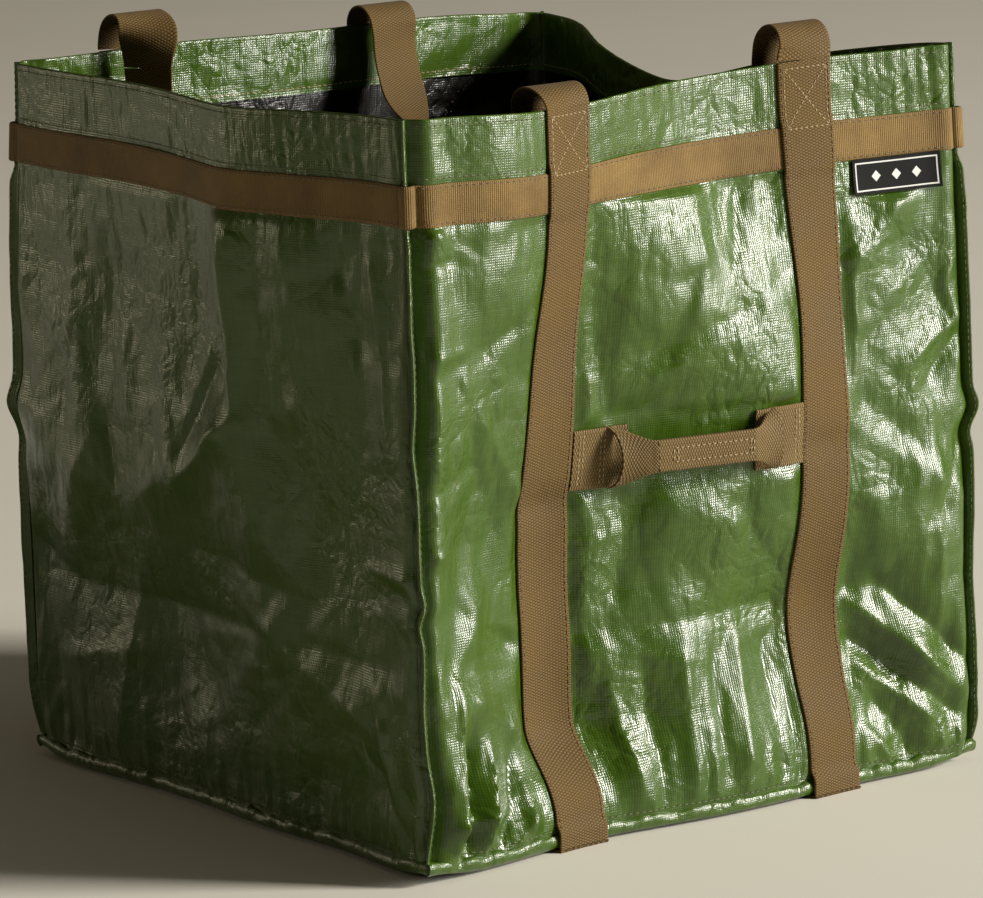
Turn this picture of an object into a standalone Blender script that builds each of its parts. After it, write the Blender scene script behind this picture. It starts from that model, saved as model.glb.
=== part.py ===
"""Open-topped cube bag of woven tarpaulin with sewn webbing, carrying loops and grab handles.

Metres, +Z up. The origin is on the ground under the middle of the bag. The front wall, with the label,
faces -Y. A wall's own coordinates are s (along it, to the right seen from outside), z (up) and lift
(outwards from its nominal plane).
"""

import math

import bmesh
import bpy
from mathutils import Vector

# The bag, in metres. Walls are 450 mm cloth, less the corner seams.
WIDTH = 0.430
DEPTH = 0.440
HEIGHT = 0.456
CLOTH = 0.001
GAP = 0.0004
HEM_HEIGHT = 0.040
WALL_BOTTOM = 0.0033
WALL_INSET = 0.0013

# Webbing
STRAP_WIDTH = 0.038
STRAP_PLACE = 0.0975  # from the handles' middle
BACK_SHIFT = 0.0265  # how much further left, seen from the front, the back wall's straps are sewn
STRAP = 0.0015
BAND_WIDTH = 0.025
BAND = 0.001
BAND_TOP = 0.4175
BAND_TURN = 0.004  # from the corner, where the band starts to go round the corner seam

# Seams
SEAM_STEPS = 6
SEAM_DEPTH = 0.007
SEAM_THICKNESS = 0.0022
SEAM_LEAN = math.radians(30)
BASE_SEAM_TOP = 0.011
BASE_SEAM_THICKNESS = 0.003
BASE_SEAM_BEVEL = 0.0009

# Carrying handles: each leg goes over the rim in a bend, then hangs inside
BEND_RADIUS = 0.014
HINGE_ABOVE_RIM = 0.008
BEND_STEPS = 8
LEG_START = 0.018
LEG_LENGTH = 0.090
LEG_STEPS = 7
LOOP_STEPS = 14
LEAN_FALL = 0.130
HANDLE_LEAN = 0.055  # how far a hanging handle drifts inwards, clear of the sagging wall

# Grab handles, on the front and the back wall between the straps
GRAB_HEIGHT = 0.232
GRAB_TAB = 0.025
GRIP_WIDTH = 0.020
GRIP_THICKNESS = 0.003
GRIP_STANDOFF = 0.0115
GRIP_CLEARANCE = 0.0055
GRIP_STEPS = 20
FLARE = 0.20  # share of the grab handle's length that each flared end takes

# Label
LABEL_WIDTH = 0.065
LABEL_HEIGHT = 0.0215
LABEL_THICKNESS = 0.0008
LABEL_PLACE = 0.1625

# Each wall: its outward direction and its half length
WALLS = {
    "front": (Vector((0, -1, 0)), WIDTH / 2),
    "right": (Vector((1, 0, 0)), DEPTH / 2),
    "back": (Vector((0, 1, 0)), WIDTH / 2),
    "left": (Vector((-1, 0, 0)), DEPTH / 2),
}

# The walls stand straight below SAG_START, and sag fully from SAG_FADE above it
SAG_START = 0.012
SAG_FADE = 0.060

# How each wall sags: (s, z, reach along, reach up, how far it stands out)
SAG = {
    "front": (
        (-0.160, 0.456, 0.045, 0.10, 0.010),
        (0.030, 0.456, 0.085, 0.13, -0.024),
        (0.150, 0.456, 0.060, 0.15, -0.008),
        (-0.100, 0.170, 0.085, 0.13, -0.042),
        (0.100, 0.110, 0.070, 0.07, -0.014),
    ),
    "right": ((-0.030, 0.456, 0.110, 0.18, -0.055),),
    "back": (
        (0.000, 0.456, 0.150, 0.20, -0.008),
        (0.060, 0.200, 0.110, 0.13, -0.024),
    ),
    "left": ((0.060, 0.456, 0.090, 0.25, 0.016),),
}

BAND_BOTTOM = BAND_TOP - BAND_WIDTH
OUTER_COLUMN = 0.180
RISE = 0.006  # over which a strap climbs onto the band or off the base seam
LEVELS = [WALL_BOTTOM, BASE_SEAM_TOP + 0.0005, BASE_SEAM_TOP + RISE + 0.001]
LEVELS += [0.05, 0.09, 0.13, 0.17, GRAB_HEIGHT - STRAP_WIDTH / 2, GRAB_HEIGHT + STRAP_WIDTH / 2]
LEVELS += [0.29, 0.33, 0.36, BAND_BOTTOM - RISE, BAND_BOTTOM, BAND_TOP, BAND_TOP + RISE, 0.440, HEIGHT]


# Shapes


def outward(wall):
    return WALLS[wall][0]


def along(wall):
    return Vector((0, 0, 1)).cross(outward(wall))


def distance(wall):
    return DEPTH / 2 if wall in ("front", "back") else WIDTH / 2


def sag(wall, s, z):
    """How far the cloth stands out there: nothing at the corners and at the base."""
    held = max(0.0, 1 - abs(s / WALLS[wall][1]) ** 6)
    rise = min(1.0, max(0.0, z - SAG_START) / SAG_FADE)
    rise = rise * rise * (3 - 2 * rise)
    total = 0.0
    for place, height, reach, reach_up, amount in SAG[wall]:
        total += amount * math.exp(-(((s - place) / reach) ** 2) - ((z - height) / reach_up) ** 2)
    return total * held * rise


def on_wall(wall, s, z, lift=0.0):
    out = distance(wall) + sag(wall, s, z) + lift
    return outward(wall) * out + along(wall) * s + Vector((0, 0, z))


def loop_middle(wall):
    """The x of the middle between the wall's two straps."""
    return -BACK_SHIFT if wall == "back" else 0.0


def strap_x(wall, x_side):
    return loop_middle(wall) + x_side * STRAP_PLACE


def strap_s(wall, x_side):
    """Where the strap is along its wall."""
    return strap_x(wall, x_side) * (1 if wall == "front" else -1)


def columns(wall):
    """Where the wall's cloth has points along its length. The straps' edges are among them."""
    half = WALLS[wall][1] - WALL_INSET
    if wall in ("front", "back"):
        middles = sorted(strap_s(wall, x_side) for x_side in (-1, 1))
        edges = [middle + edge * STRAP_WIDTH / 2 for middle in middles for edge in (-1, 1)]
        between = [edges[1] + (edges[2] - edges[1]) * k / 4 for k in (1, 2, 3)]
        ends = [-OUTER_COLUMN, (edges[0] - OUTER_COLUMN) / 2], [(edges[3] + OUTER_COLUMN) / 2, OUTER_COLUMN]
        inner = [*ends[0], *edges[:2], *between, *edges[2:], *ends[1]]
    else:
        inner = [-0.175 + 0.035 * k for k in range(11)]
    return [-half, *inner, half]


# Objects


def clear_scene():
    for obj in list(bpy.data.objects):
        bpy.data.objects.remove(obj)


def make_material(name, colour, roughness):
    material = bpy.data.materials.new(name)
    material.use_nodes = True
    shader = material.node_tree.nodes["Principled BSDF"]
    shader.inputs["Base Color"].default_value = (*colour, 1)
    shader.inputs["Roughness"].default_value = roughness
    shader.inputs["Metallic"].default_value = 0.0
    return material


def add_object(name, bm, material):
    mesh = bpy.data.meshes.new(name)
    bm.to_mesh(mesh)
    bm.free()
    obj = bpy.data.objects.new(name, mesh)
    obj.data.materials.append(material)
    parts.objects.link(obj)
    return obj


def thicken(obj, thickness, side):
    """Makes the open sheet a closed slab: side -1 goes behind its faces, 1 in front, 0 both ways."""
    solid = obj.modifiers.new("Solidify", "SOLIDIFY")
    solid.thickness = thickness
    solid.offset = side
    solid.use_even_offset = False


def place_grid(bm, across, up, where):
    """Moves a grid from create_grid so that its point (i, j) is at where(i, j)."""
    for vert in bm.verts:
        i = round((vert.co.x + 1) / 2 * across)
        j = round((vert.co.y + 1) / 2 * up)
        vert.co = where(i, j)


def make_sheet(name, material, across, up, where, thickness, side, origin=None):
    """A slab on a grid of across x up cells, split the same way everywhere so that layers fit."""
    bm = bmesh.new()
    bmesh.ops.create_grid(bm, x_segments=across, y_segments=up, size=1)
    bmesh.ops.triangulate(bm, faces=bm.faces[:], quad_method="FIXED")
    place_grid(bm, across, up, where)
    if origin is not None:
        bmesh.ops.translate(bm, verts=bm.verts, vec=-origin)
    obj = add_object(name, bm, material)
    if origin is not None:
        obj.location = origin
    thicken(obj, thickness, side)
    return obj


def make_wall_sheet(name, material, wall, places, levels, lift, thickness, side):
    """A slab that follows the wall. lift is a number, or a function of the height."""
    height_lift = lift if callable(lift) else lambda z: lift

    def where(i, j):
        return on_wall(wall, places[i], levels[j], height_lift(levels[j]))

    return make_sheet(name, material, len(places) - 1, len(levels) - 1, where, thickness, side)


def make_box(name, material, low, high):
    bm = bmesh.new()
    bmesh.ops.create_cube(bm, size=1)
    middle, size = (low + high) / 2, high - low
    for vert in bm.verts:
        vert.co = middle + Vector(vert.co[k] * size[k] for k in range(3))
    return add_object(name, bm, material)


def make_ribbon(name, material, points, widths, directions, thickness, origin=None):
    """Webbing through the points, its width laid along the direction given at each."""

    def where(i, j):
        return points[i] + directions[i] * widths[i] * (j - 0.5)

    return make_sheet(name, material, len(points) - 1, 1, where, thickness, 0, origin)


# Parts of the bag


def make_walls(cloth, facing):
    for wall in WALLS:
        places = columns(wall)
        make_wall_sheet(f"{wall}_panel", cloth, wall, places, LEVELS, 0.0, CLOTH, -1)
        inner = places[1:-1]
        half = WALLS[wall][1] - WALL_INSET - 3 * CLOTH
        hem_levels = [HEIGHT - HEM_HEIGHT, *[z for z in LEVELS if z > HEIGHT - HEM_HEIGHT]]
        behind = -(CLOTH + 2 * GAP)
        make_wall_sheet(f"{wall}_rim_hem", facing, wall, [-half, *inner, half], hem_levels, behind, CLOTH, -1)


def make_base(cloth):
    inset = 2 * CLOTH + GAP
    under = STRAP + GAP
    corner = Vector((WIDTH / 2 - inset, DEPTH / 2 - inset, 0))
    low = Vector((-corner.x, -corner.y, under))
    high = Vector((corner.x, corner.y, under + CLOTH))
    make_box("base_panel", cloth, low, high)


def make_corner_seams(cloth):
    """The pinched flange that stands out along each corner, folded towards the side wall."""
    for along_y, y_side in (("front", -1), ("back", 1)):
        for along_x, x_side in (("left", -1), ("right", 1)):
            root = Vector((x_side * (WIDTH / 2 + GAP), y_side * (DEPTH / 2 + GAP), 0))
            out = Vector((x_side * math.cos(SEAM_LEAN), y_side * math.sin(SEAM_LEAN), 0))
            foot = BASE_SEAM_TOP + GAP
            levels = [foot + (HEIGHT - foot) * k / SEAM_STEPS for k in range(SEAM_STEPS + 1)]

            def where(i, j, root=root, out=out, levels=levels):
                return root + out * (SEAM_THICKNESS / 2 + i * SEAM_DEPTH / 2) + Vector((0, 0, levels[j]))

            name = f"{along_y}_{along_x}_corner_seam"
            make_sheet(name, cloth, 2, SEAM_STEPS, where, SEAM_THICKNESS, 0)


def make_base_seams(cloth):
    """The rolled ridge along the foot of each wall."""
    for wall, (out, half) in WALLS.items():
        reach = half - GAP if wall in ("left", "right") else half + BASE_SEAM_THICKNESS + GAP
        near = distance(wall) + GAP
        far = near + BASE_SEAM_THICKNESS
        ends = [out * near - along(wall) * reach, out * far + along(wall) * reach]
        low = Vector((min(e.x for e in ends), min(e.y for e in ends), STRAP + GAP))
        high = Vector((max(e.x for e in ends), max(e.y for e in ends), BASE_SEAM_TOP))
        seam = make_box(f"{wall}_base_seam", cloth, low, high)
        rounded = seam.modifiers.new("Bevel", "BEVEL")
        rounded.width = BASE_SEAM_BEVEL
        rounded.segments = 2


def band_path():
    """The band's inner line round the bag: along each wall, and out round each corner seam."""
    line = []
    for wall in ("front", "right", "back", "left"):
        places = columns(wall)[1:-1]
        half = WALLS[wall][1]
        line += [(wall, s) for s in (-half + BAND_TURN, *places, half - BAND_TURN)]
        line.append((wall, None))
    return line


def corner_turn(wall):
    """The two points that take the band from the end of this wall round the corner seam."""
    y_side = -1 if wall in ("front", "left") else 1
    x_side = 1 if wall in ("front", "right") else -1
    root = Vector((x_side * WIDTH / 2, y_side * DEPTH / 2, 0))
    out = Vector((x_side * math.cos(SEAM_LEAN), y_side * math.sin(SEAM_LEAN), 0))
    side = Vector((-out.y, out.x, 0))
    reach = SEAM_DEPTH + SEAM_THICKNESS + 2 * GAP
    spread = SEAM_THICKNESS / 2 + 2 * GAP
    return [root + out * reach - side * spread, root + out * reach + side * spread]


def make_band(webbing):
    """One closed strip right round the bag under the hem."""
    rings = []
    for z in (BAND_BOTTOM, BAND_TOP):
        ring = []
        for wall, s in band_path():
            ring += corner_turn(wall) if s is None else [on_wall(wall, s, z, GAP)]
        rings.append([Vector((point.x, point.y, z)) for point in ring])
    count = len(rings[0])
    bm = bmesh.new()
    bmesh.ops.create_grid(bm, x_segments=count, y_segments=1, size=1)
    bmesh.ops.triangulate(bm, faces=bm.faces[:], quad_method="FIXED")
    place_grid(bm, count, 1, lambda i, j: rings[j][i % count])
    bmesh.ops.remove_doubles(bm, verts=bm.verts, dist=1e-6)
    band = add_object("rim_band", bm, webbing)
    thicken(band, BAND, 1)


def strap_lift(z):
    """A strap lies on the cloth, and climbs over the base seam and the band."""
    if z <= BASE_SEAM_TOP + 0.0006:
        return BASE_SEAM_THICKNESS + 2 * GAP
    if BAND_BOTTOM - RISE / 2 < z < BAND_TOP + RISE / 2:
        return BAND + 2 * GAP
    return GAP


def strap_sides():
    return (("left", -1), ("right", 1))


def make_straps(webbing):
    """The four straps up the walls and the two under the base that join them."""
    levels = [STRAP + GAP, *LEVELS[1:]]
    for wall in ("front", "back"):
        for name, x_side in strap_sides():
            middle = strap_s(wall, x_side)
            edges = [middle - STRAP_WIDTH / 2, middle + STRAP_WIDTH / 2]
            make_wall_sheet(f"{wall}_{name}_strap", webbing, wall, edges, levels, strap_lift, STRAP, 1)
    reach = DEPTH / 2 + BASE_SEAM_THICKNESS + 2 * GAP + STRAP
    for name, x_side in strap_sides():
        low = Vector((-STRAP_WIDTH / 2, -reach, 0))
        high = Vector((STRAP_WIDTH / 2, reach, STRAP))
        strap = make_box(f"{name}_base_strap", webbing, low, high)
        for vert in strap.data.vertices:
            vert.co.x += strap_x("front" if vert.co.y < 0 else "back", x_side)


# Carrying handles


def leg_places(wall):
    """Where each strap leaves the rim and where it comes down inside, as distances from the middle."""
    places = {}
    for name, x_side in strap_sides():
        outer = distance(wall) + sag(wall, strap_s(wall, x_side), HEIGHT) + GAP + STRAP / 2
        places[name] = (outer, outer - 2 * BEND_RADIUS)
    return places


def hinge_place(wall):
    """A point on the axis that the handle swings about, midway across its two bends."""
    places = leg_places(wall).values()
    middle = sum(outer + inner for outer, inner in places) / 4
    return outward(wall) * middle + Vector((0, 0, HEIGHT + HINGE_ABOVE_RIM))


def make_bends(wall, webbing):
    """The short curl that takes each strap over the rim to the handle's leg."""
    top = HEIGHT + HINGE_ABOVE_RIM
    for name, x_side in strap_sides():
        outer, inner = leg_places(wall)[name]
        middle = (outer + inner) / 2
        line = [(outer, HEIGHT + GAP)]
        for k in range(BEND_STEPS + 1):
            angle = math.pi * k / BEND_STEPS
            line.append((middle + BEND_RADIUS * math.cos(angle), top + BEND_RADIUS * math.sin(angle)))
        line.append((inner, top - LEG_START + GAP))
        points = [outward(wall) * out + Vector((strap_x(wall, x_side), 0, z)) for out, z in line]
        directions = [Vector((1, 0, 0))] * len(points)
        make_ribbon(f"{wall}_{name}_bend", webbing, points, [STRAP_WIDTH] * len(points), directions, STRAP)


def make_handle(wall, webbing):
    """A hanging loop: each leg turns a quarter as it falls, so that the loop's foot is edge on."""
    places = leg_places(wall)
    inner_left, inner_right = places["left"][1], places["right"][1]
    start = HEIGHT + HINGE_ABOVE_RIM - LEG_START
    foot = start - LEG_LENGTH
    line = []
    for k in range(LEG_STEPS):
        share = k / LEG_STEPS
        line.append((-STRAP_PLACE, start - share * LEG_LENGTH, share * math.pi / 2))
    for k in range(LOOP_STEPS + 1):
        angle = math.pi * k / LOOP_STEPS
        line.append((-STRAP_PLACE * math.cos(angle), foot - STRAP_PLACE * math.sin(angle), math.pi / 2))
    for k in range(1, LEG_STEPS + 1):
        share = k / LEG_STEPS
        line.append((STRAP_PLACE, foot + share * LEG_LENGTH, (1 + share) * math.pi / 2))
    points, directions = [], []
    for x, z, turn in line:
        share = (x / STRAP_PLACE + 1) / 2
        fall = min(1.0, (start - z) / LEAN_FALL)
        lean = HANDLE_LEAN * fall * fall * (3 - 2 * fall)
        out = inner_left + (inner_right - inner_left) * share - lean
        points.append(outward(wall) * out + Vector((loop_middle(wall) + x, 0, z)))
        directions.append(Vector((math.cos(turn), 0, 0)) - outward(wall) * math.sin(turn))
    widths = [STRAP_WIDTH] * len(points)
    make_ribbon(f"{wall}_handle", webbing, points, widths, directions, STRAP, hinge_place(wall))


# Grab handles


def grab_end(wall, x_side):
    """Where a grab handle's tab ends at its strap and where its grip starts, along the wall."""
    s_side = x_side if wall == "front" else -x_side
    outer = strap_s(wall, x_side) - s_side * (STRAP_WIDTH / 2 + GAP)
    return outer, outer - s_side * GRAB_TAB


def make_grab_tabs(wall, webbing):
    heights = [GRAB_HEIGHT - STRAP_WIDTH / 2, GRAB_HEIGHT + STRAP_WIDTH / 2]
    for name, x_side in strap_sides():
        edges = sorted(grab_end(wall, x_side))
        places = [edges[0], sum(edges) / 2, edges[1]]
        make_wall_sheet(f"{wall}_{name}_grab_tab", webbing, wall, places, heights, 3 * GAP, STRAP, 1)


def grab_line(wall):
    """The grab handle's middle line between its tabs, as points and widths: wide and near the wall at
    its ends, folded narrow and standing off the wall in the middle."""
    low, high = sorted(grab_end(wall, x_side)[1] for x_side in (-1, 1))
    first, last = [on_wall(wall, s, GRAB_HEIGHT, GRIP_CLEARANCE) for s in (low + GAP, high - GAP)]
    points, widths = [], []
    for k in range(GRIP_STEPS + 1):
        share = k / GRIP_STEPS
        end = min(1.0, min(share, 1 - share) / FLARE)
        standing = end * end * (3 - 2 * end) * GRIP_STANDOFF
        width = STRAP_WIDTH + (GRIP_WIDTH - STRAP_WIDTH) * end
        points.append(first.lerp(last, share) + outward(wall) * standing)
        widths.append(width)
    return points, widths


def grab_axis(wall):
    """The two ends of the line that the grip swings about."""
    points = grab_line(wall)[0]
    return points[0], points[-1]


def make_grip(wall, webbing):
    """The grip, which swings, and the flared ends that join it to its tabs and flex."""
    points, widths = grab_line(wall)
    ends = round((len(points) - 1) * FLARE)
    pieces = {
        "grab_handle": (points[ends:-ends], widths[ends:-ends], GRIP_THICKNESS),
        "start_flare": (points[: ends + 1], widths[: ends + 1], STRAP),
        "end_flare": (points[-ends - 1 :], widths[-ends - 1 :], STRAP),
    }
    first, last = grab_axis(wall)
    sides = ("left", "right") if wall == "front" else ("right", "left")
    names = {
        "grab_handle": f"{wall}_grab_handle",
        "start_flare": f"{wall}_{sides[0]}_grab_flare",
        "end_flare": f"{wall}_{sides[1]}_grab_flare",
    }
    for piece, (line, wide, thickness) in pieces.items():
        gap = (line[1] - line[0]).normalized() * GAP
        trimmed = [line[0] + gap, *line[1:-1], line[-1] - gap]
        directions = [Vector((0, 0, 1))] * len(line)
        origin = (first + last) / 2 if piece == "grab_handle" else None
        make_ribbon(names[piece], webbing, trimmed, wide, directions, thickness, origin)


def make_label(black):
    """A woven tab that hangs from the lower edge of the band."""
    top = BAND_BOTTOM - GAP
    places = [LABEL_PLACE + LABEL_WIDTH * (k / 4 - 0.5) for k in range(5)]
    levels = [top - LABEL_HEIGHT, top - LABEL_HEIGHT / 2, top]
    hinge = on_wall("front", LABEL_PLACE, top, 2 * GAP + LABEL_THICKNESS)

    def where(i, j):
        return on_wall("front", places[i], levels[j], 2 * GAP)

    make_sheet("label", black, 4, 2, where, LABEL_THICKNESS, 1, hinge)


clear_scene()
parts = bpy.data.collections.new("rope_storage_bag")
bpy.context.scene.collection.children.link(parts)
green = make_material("green tarpaulin", (0.10, 0.19, 0.03), 0.28)
facing_green = make_material("green facing", (0.11, 0.20, 0.04), 0.32)
brown = make_material("brown webbing", (0.23, 0.13, 0.05), 0.75)
tan = make_material("tan band", (0.30, 0.19, 0.08), 0.70)
label_black = make_material("black label", (0.01, 0.01, 0.01), 0.60)

make_walls(green, facing_green)
make_base(green)
make_corner_seams(green)
make_base_seams(green)
make_band(tan)
make_straps(brown)
for side in ("front", "back"):
    make_bends(side, brown)
    make_handle(side, brown)
    make_grab_tabs(side, tan)
    make_grip(side, tan)
make_label(label_black)
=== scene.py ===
import math

import bpy
import numpy as np
from mathutils import Matrix, Vector


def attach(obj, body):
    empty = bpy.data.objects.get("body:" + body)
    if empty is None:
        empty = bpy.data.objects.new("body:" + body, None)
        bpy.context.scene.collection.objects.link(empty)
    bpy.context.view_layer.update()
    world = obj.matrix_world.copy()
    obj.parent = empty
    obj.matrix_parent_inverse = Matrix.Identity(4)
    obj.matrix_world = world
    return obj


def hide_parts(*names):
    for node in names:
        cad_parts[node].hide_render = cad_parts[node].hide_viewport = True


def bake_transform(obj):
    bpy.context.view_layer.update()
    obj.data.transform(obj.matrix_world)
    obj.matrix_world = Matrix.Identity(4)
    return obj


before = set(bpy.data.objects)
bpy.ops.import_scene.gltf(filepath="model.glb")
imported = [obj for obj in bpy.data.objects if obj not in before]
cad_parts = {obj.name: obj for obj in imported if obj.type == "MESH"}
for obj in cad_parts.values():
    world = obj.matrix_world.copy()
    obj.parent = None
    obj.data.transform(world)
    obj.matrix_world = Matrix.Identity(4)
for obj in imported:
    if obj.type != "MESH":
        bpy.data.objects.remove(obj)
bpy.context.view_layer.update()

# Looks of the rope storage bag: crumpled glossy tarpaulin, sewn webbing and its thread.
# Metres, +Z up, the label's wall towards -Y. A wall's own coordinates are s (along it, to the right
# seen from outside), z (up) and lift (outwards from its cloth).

# The frame's dimensions
WIDTH = 0.430
DEPTH = 0.440
HEIGHT = 0.456
CLOTH = 0.001
STRAP_WIDTH = 0.038
STRAP_PLACE = 0.0975
BACK_SHIFT = 0.0265
STRAP = 0.0015
BAND = 0.001
BAND_TOP = 0.4175
BAND_BOTTOM = 0.3925
SEAM_DEPTH = 0.007
BASE_SEAM_TOP = 0.011
BASE_SEAM = 0.003
BEND_RADIUS = 0.014
HINGE_ABOVE_RIM = 0.008
LEG_START = 0.018
LEG_TOP = HEIGHT + HINGE_ABOVE_RIM - LEG_START
LEG_LENGTH = 0.090
LEAN_FALL = 0.130
HANDLE_LEAN = 0.055
GRAB_HEIGHT = 0.232
GRAB_TAB = 0.025
GRIP_WIDTH = 0.020
GRIP_STANDOFF = 0.0115
GRIP_CLEARANCE = 0.0055
FLARE = 0.20
LABEL_WIDTH = 0.065
LABEL_HEIGHT = 0.0215
LABEL_PLACE = 0.1625
LABEL_HINGE = 0.3894  # before the rim's rise
LABEL_BEND = 0.0060
HEM_DEPTH = 0.0415
SAG_START = 0.012
SAG_FADE = 0.060

# Detail
STEP = 0.0023  # between the points of the cloth
STRAP_LIFT = 0.0007
BAND_LIFT = 0.0005
RIM_ROLL = 0.00125
FOLD_STRENGTH = 1.35
PINCH = 0.0055  # how far each wall's end is drawn in at its corner seam

def in_metres(table):
    """A table with its rows in millimetres, in metres."""
    return {key: [[value / 1000 for value in row] for row in rows] for key, rows in table.items()}


# Each wall: its outward direction, its half length and its distance from the middle
WALLS = {
    "front": ((0, -1), WIDTH / 2, DEPTH / 2),
    "right": ((1, 0), DEPTH / 2, WIDTH / 2),
    "back": ((0, 1), WIDTH / 2, DEPTH / 2),
    "left": ((-1, 0), DEPTH / 2, WIDTH / 2),
}

# How each wall sags, the frame's own bumps first: (s, z, reach along, reach up, how far it stands out)
SAG = in_metres({
    "front": (
        (-160, 456, 45, 100, 10), (30, 456, 85, 130, -24), (150, 456, 60, 150, -8),
        (-100, 170, 85, 130, -42), (100, 110, 70, 70, -14), (-100, 310, 60, 50, -8), (-95, 70, 60, 45, -16),
        (60, 115, 90, 45, -9), (0, 232, 42, 36, -7), (-140, 345, 42, 90, 7.5), (-55, 340, 42, 90, -6),
        (52, 310, 36, 50, 6.5), (140, 290, 42, 80, -5.5), (160, 240, 40, 40, 6), (-97.5, 208, 30, 10, -3),
        (97.5, 222, 26, 9, -2.5), (-20, 150, 50, 22, -5), (-165, 190, 35, 30, -6), (165, 160, 35, 40, 6),
    ),
    "right": (
        (-30, 456, 110, 180, -55), (105, 456, 55, 120, -20), (60, 200, 110, 100, -12),
        (-110, 150, 70, 80, 6),
    ),
    "back": ((0, 456, 150, 200, -8), (60, 200, 110, 130, -24), (-90, 150, 80, 90, -10)),
    "left": (
        (60, 456, 90, 250, 16), (62, 330, 30, 120, 5), (-120, 300, 75, 80, -6), (-50, 110, 110, 60, -12),
        (140, 200, 60, 100, -7), (-150, 300, 50, 120, 5), (130, 330, 40, 90, 6), (0, 300, 35, 80, -6),
        (70, 120, 60, 50, 6),
    ),
})

# How the foot of each wall bows: (s, reach, how far it stands out)
FOOT = in_metres({
    "front": ((-85, 70, -11), (120, 50, -3)),
    "right": ((40, 100, -6),),
    "back": ((50, 100, -8),),
    "left": ((-60, 90, -6), (120, 50, -4)),
})

# Folds in each wall: (s, z) of its two ends, half width, how far its crest stands out
FOLDS = in_metres({
    "front": (
        (-215, 126, 215, 124, 14, -3), (-40, 372, -52, 270, 12, 2.2), (0, 388, 10, 340, 6, 1.6),
        (48, 392, 30, 335, 7, -1.8), (-50, 290, 50, 318, 10, -2.2), (-60, 262, 20, 300, 7, 1.6),
        (-66, 244, 0, 275, 6, -1.4), (20, 205, 72, 140, 12, -3.4), (-30, 205, 40, 175, 18, 2.2),
        (-60, 120, -50, 14, 8, 2.6), (-36, 112, -30, 14, 7, -2.2), (-10, 118, -14, 14, 7, 2.6),
        (14, 106, 12, 14, 6, -2.4), (36, 122, 26, 14, 8, 2.8), (60, 104, 54, 14, 7, -2.2),
        (-198, 10, -186, 120, 8, 7.2), (-188, 4, -176, 90, 7, -7.5), (-176, 8, -160, 80, 7, 6.6),
        (-164, 4, -136, 66, 8, -5.2), (-150, 6, -130, 30, 6, 4), (-206, 30, -150, 36, 7, 3.4),
        (-182, 110, -122, 70, 11, 4.6), (-200, 100, -150, 170, 12, 2.8), (-130, 110, -186, 122, 6, -2),
        (-212, 404, -186, 400, 4, 1.4), (-212, 368, -180, 372, 4, -1.6), (-212, 313, -176, 318, 5, 1.8),
        (-212, 231, -160, 246, 8, -2.6), (-212, 198, -184, 194, 5, 1.8), (-210, 300, -125, 330, 12, -2.6),
        (-170, 280, -122, 215, 10, 2.4), (-185, 215, -125, 240, 10, -2), (118, 122, 206, 44, 10, 6.4),
        (120, 98, 204, 28, 8, -5.6), (140, 132, 212, 62, 7, -4.4), (126, 78, 176, 34, 6, 4),
        (132, 60, 168, 10, 8, -4), (128, 38, 150, 8, 6, 4), (182, 236, 186, 80, 10, 3.4),
        (212, 215, 180, 160, 8, -2.6), (212, 292, 160, 262, 6, 3), (212, 282, 176, 246, 6, -2.6),
        (210, 270, 190, 310, 5, -2.4), (126, 330, 170, 372, 10, 1.8), (124, 250, 180, 205, 12, -2.4),
        (124, 180, 200, 190, 14, 2.2),
    ),
    "left": (
        (-218, 226, -80, 190, 50, 8.5), (-80, 190, 58, 262, 50, 8.5), (60, 400, 54, 262, 14, 5.8),
        (40, 350, 36, 262, 9, -3), (54, 262, -30, 205, 10, 4.4), (30, 300, -20, 225, 10, -3.6),
        (20, 300, -20, 232, 8, 2.6), (-112, 250, -100, 195, 4, -2.4), (-90, 330, -80, 240, 12, 2.4),
        (-150, 390, -140, 230, 18, 2.2), (110, 390, 128, 300, 10, 2.2), (150, 380, 168, 310, 10, -2.4),
        (180, 392, 196, 250, 10, 2.8), (90, 380, 80, 300, 8, -1.8), (216, 180, 160, 184, 5, 2.6),
        (-190, 70, -60, 100, 16, 3), (-216, 150, -150, 120, 12, -3.2), (-120, 20, -80, 160, 12, 2.8),
        (0, 170, 120, 150, 18, -3), (40, 140, 180, 80, 14, 3), (190, 12, 176, 110, 8, 3.4),
        (206, 12, 160, 70, 7, -3), (-215, 128, 215, 124, 10, -1.8),
    ),
    "right": (
        (-216, 226, 50, 240, 30, 7), (-60, 390, -90, 200, 14, 5), (20, 400, 40, 260, 12, -4),
        (90, 390, 60, 220, 14, 5), (-200, 20, -120, 140, 12, 4.6), (200, 20, 130, 130, 12, 4.6),
        (-215, 126, 215, 130, 12, -2.6), (120, 300, 205, 350, 12, -3),
    ),
    "back": (
        (-215, 128, 215, 126, 12, -2.6), (-40, 370, -30, 260, 12, 2.8), (30, 380, 50, 290, 10, -2.6),
        (-200, 20, -150, 120, 10, 4.4), (200, 20, 150, 110, 10, 4.4), (130, 330, 200, 280, 12, 2.8),
        (-130, 300, -205, 240, 12, -2.8), (-40, 110, -50, 14, 8, 2.6), (20, 110, 26, 14, 8, -2.6),
        (-60, 200, 60, 170, 20, 3),
    ),
})

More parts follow.
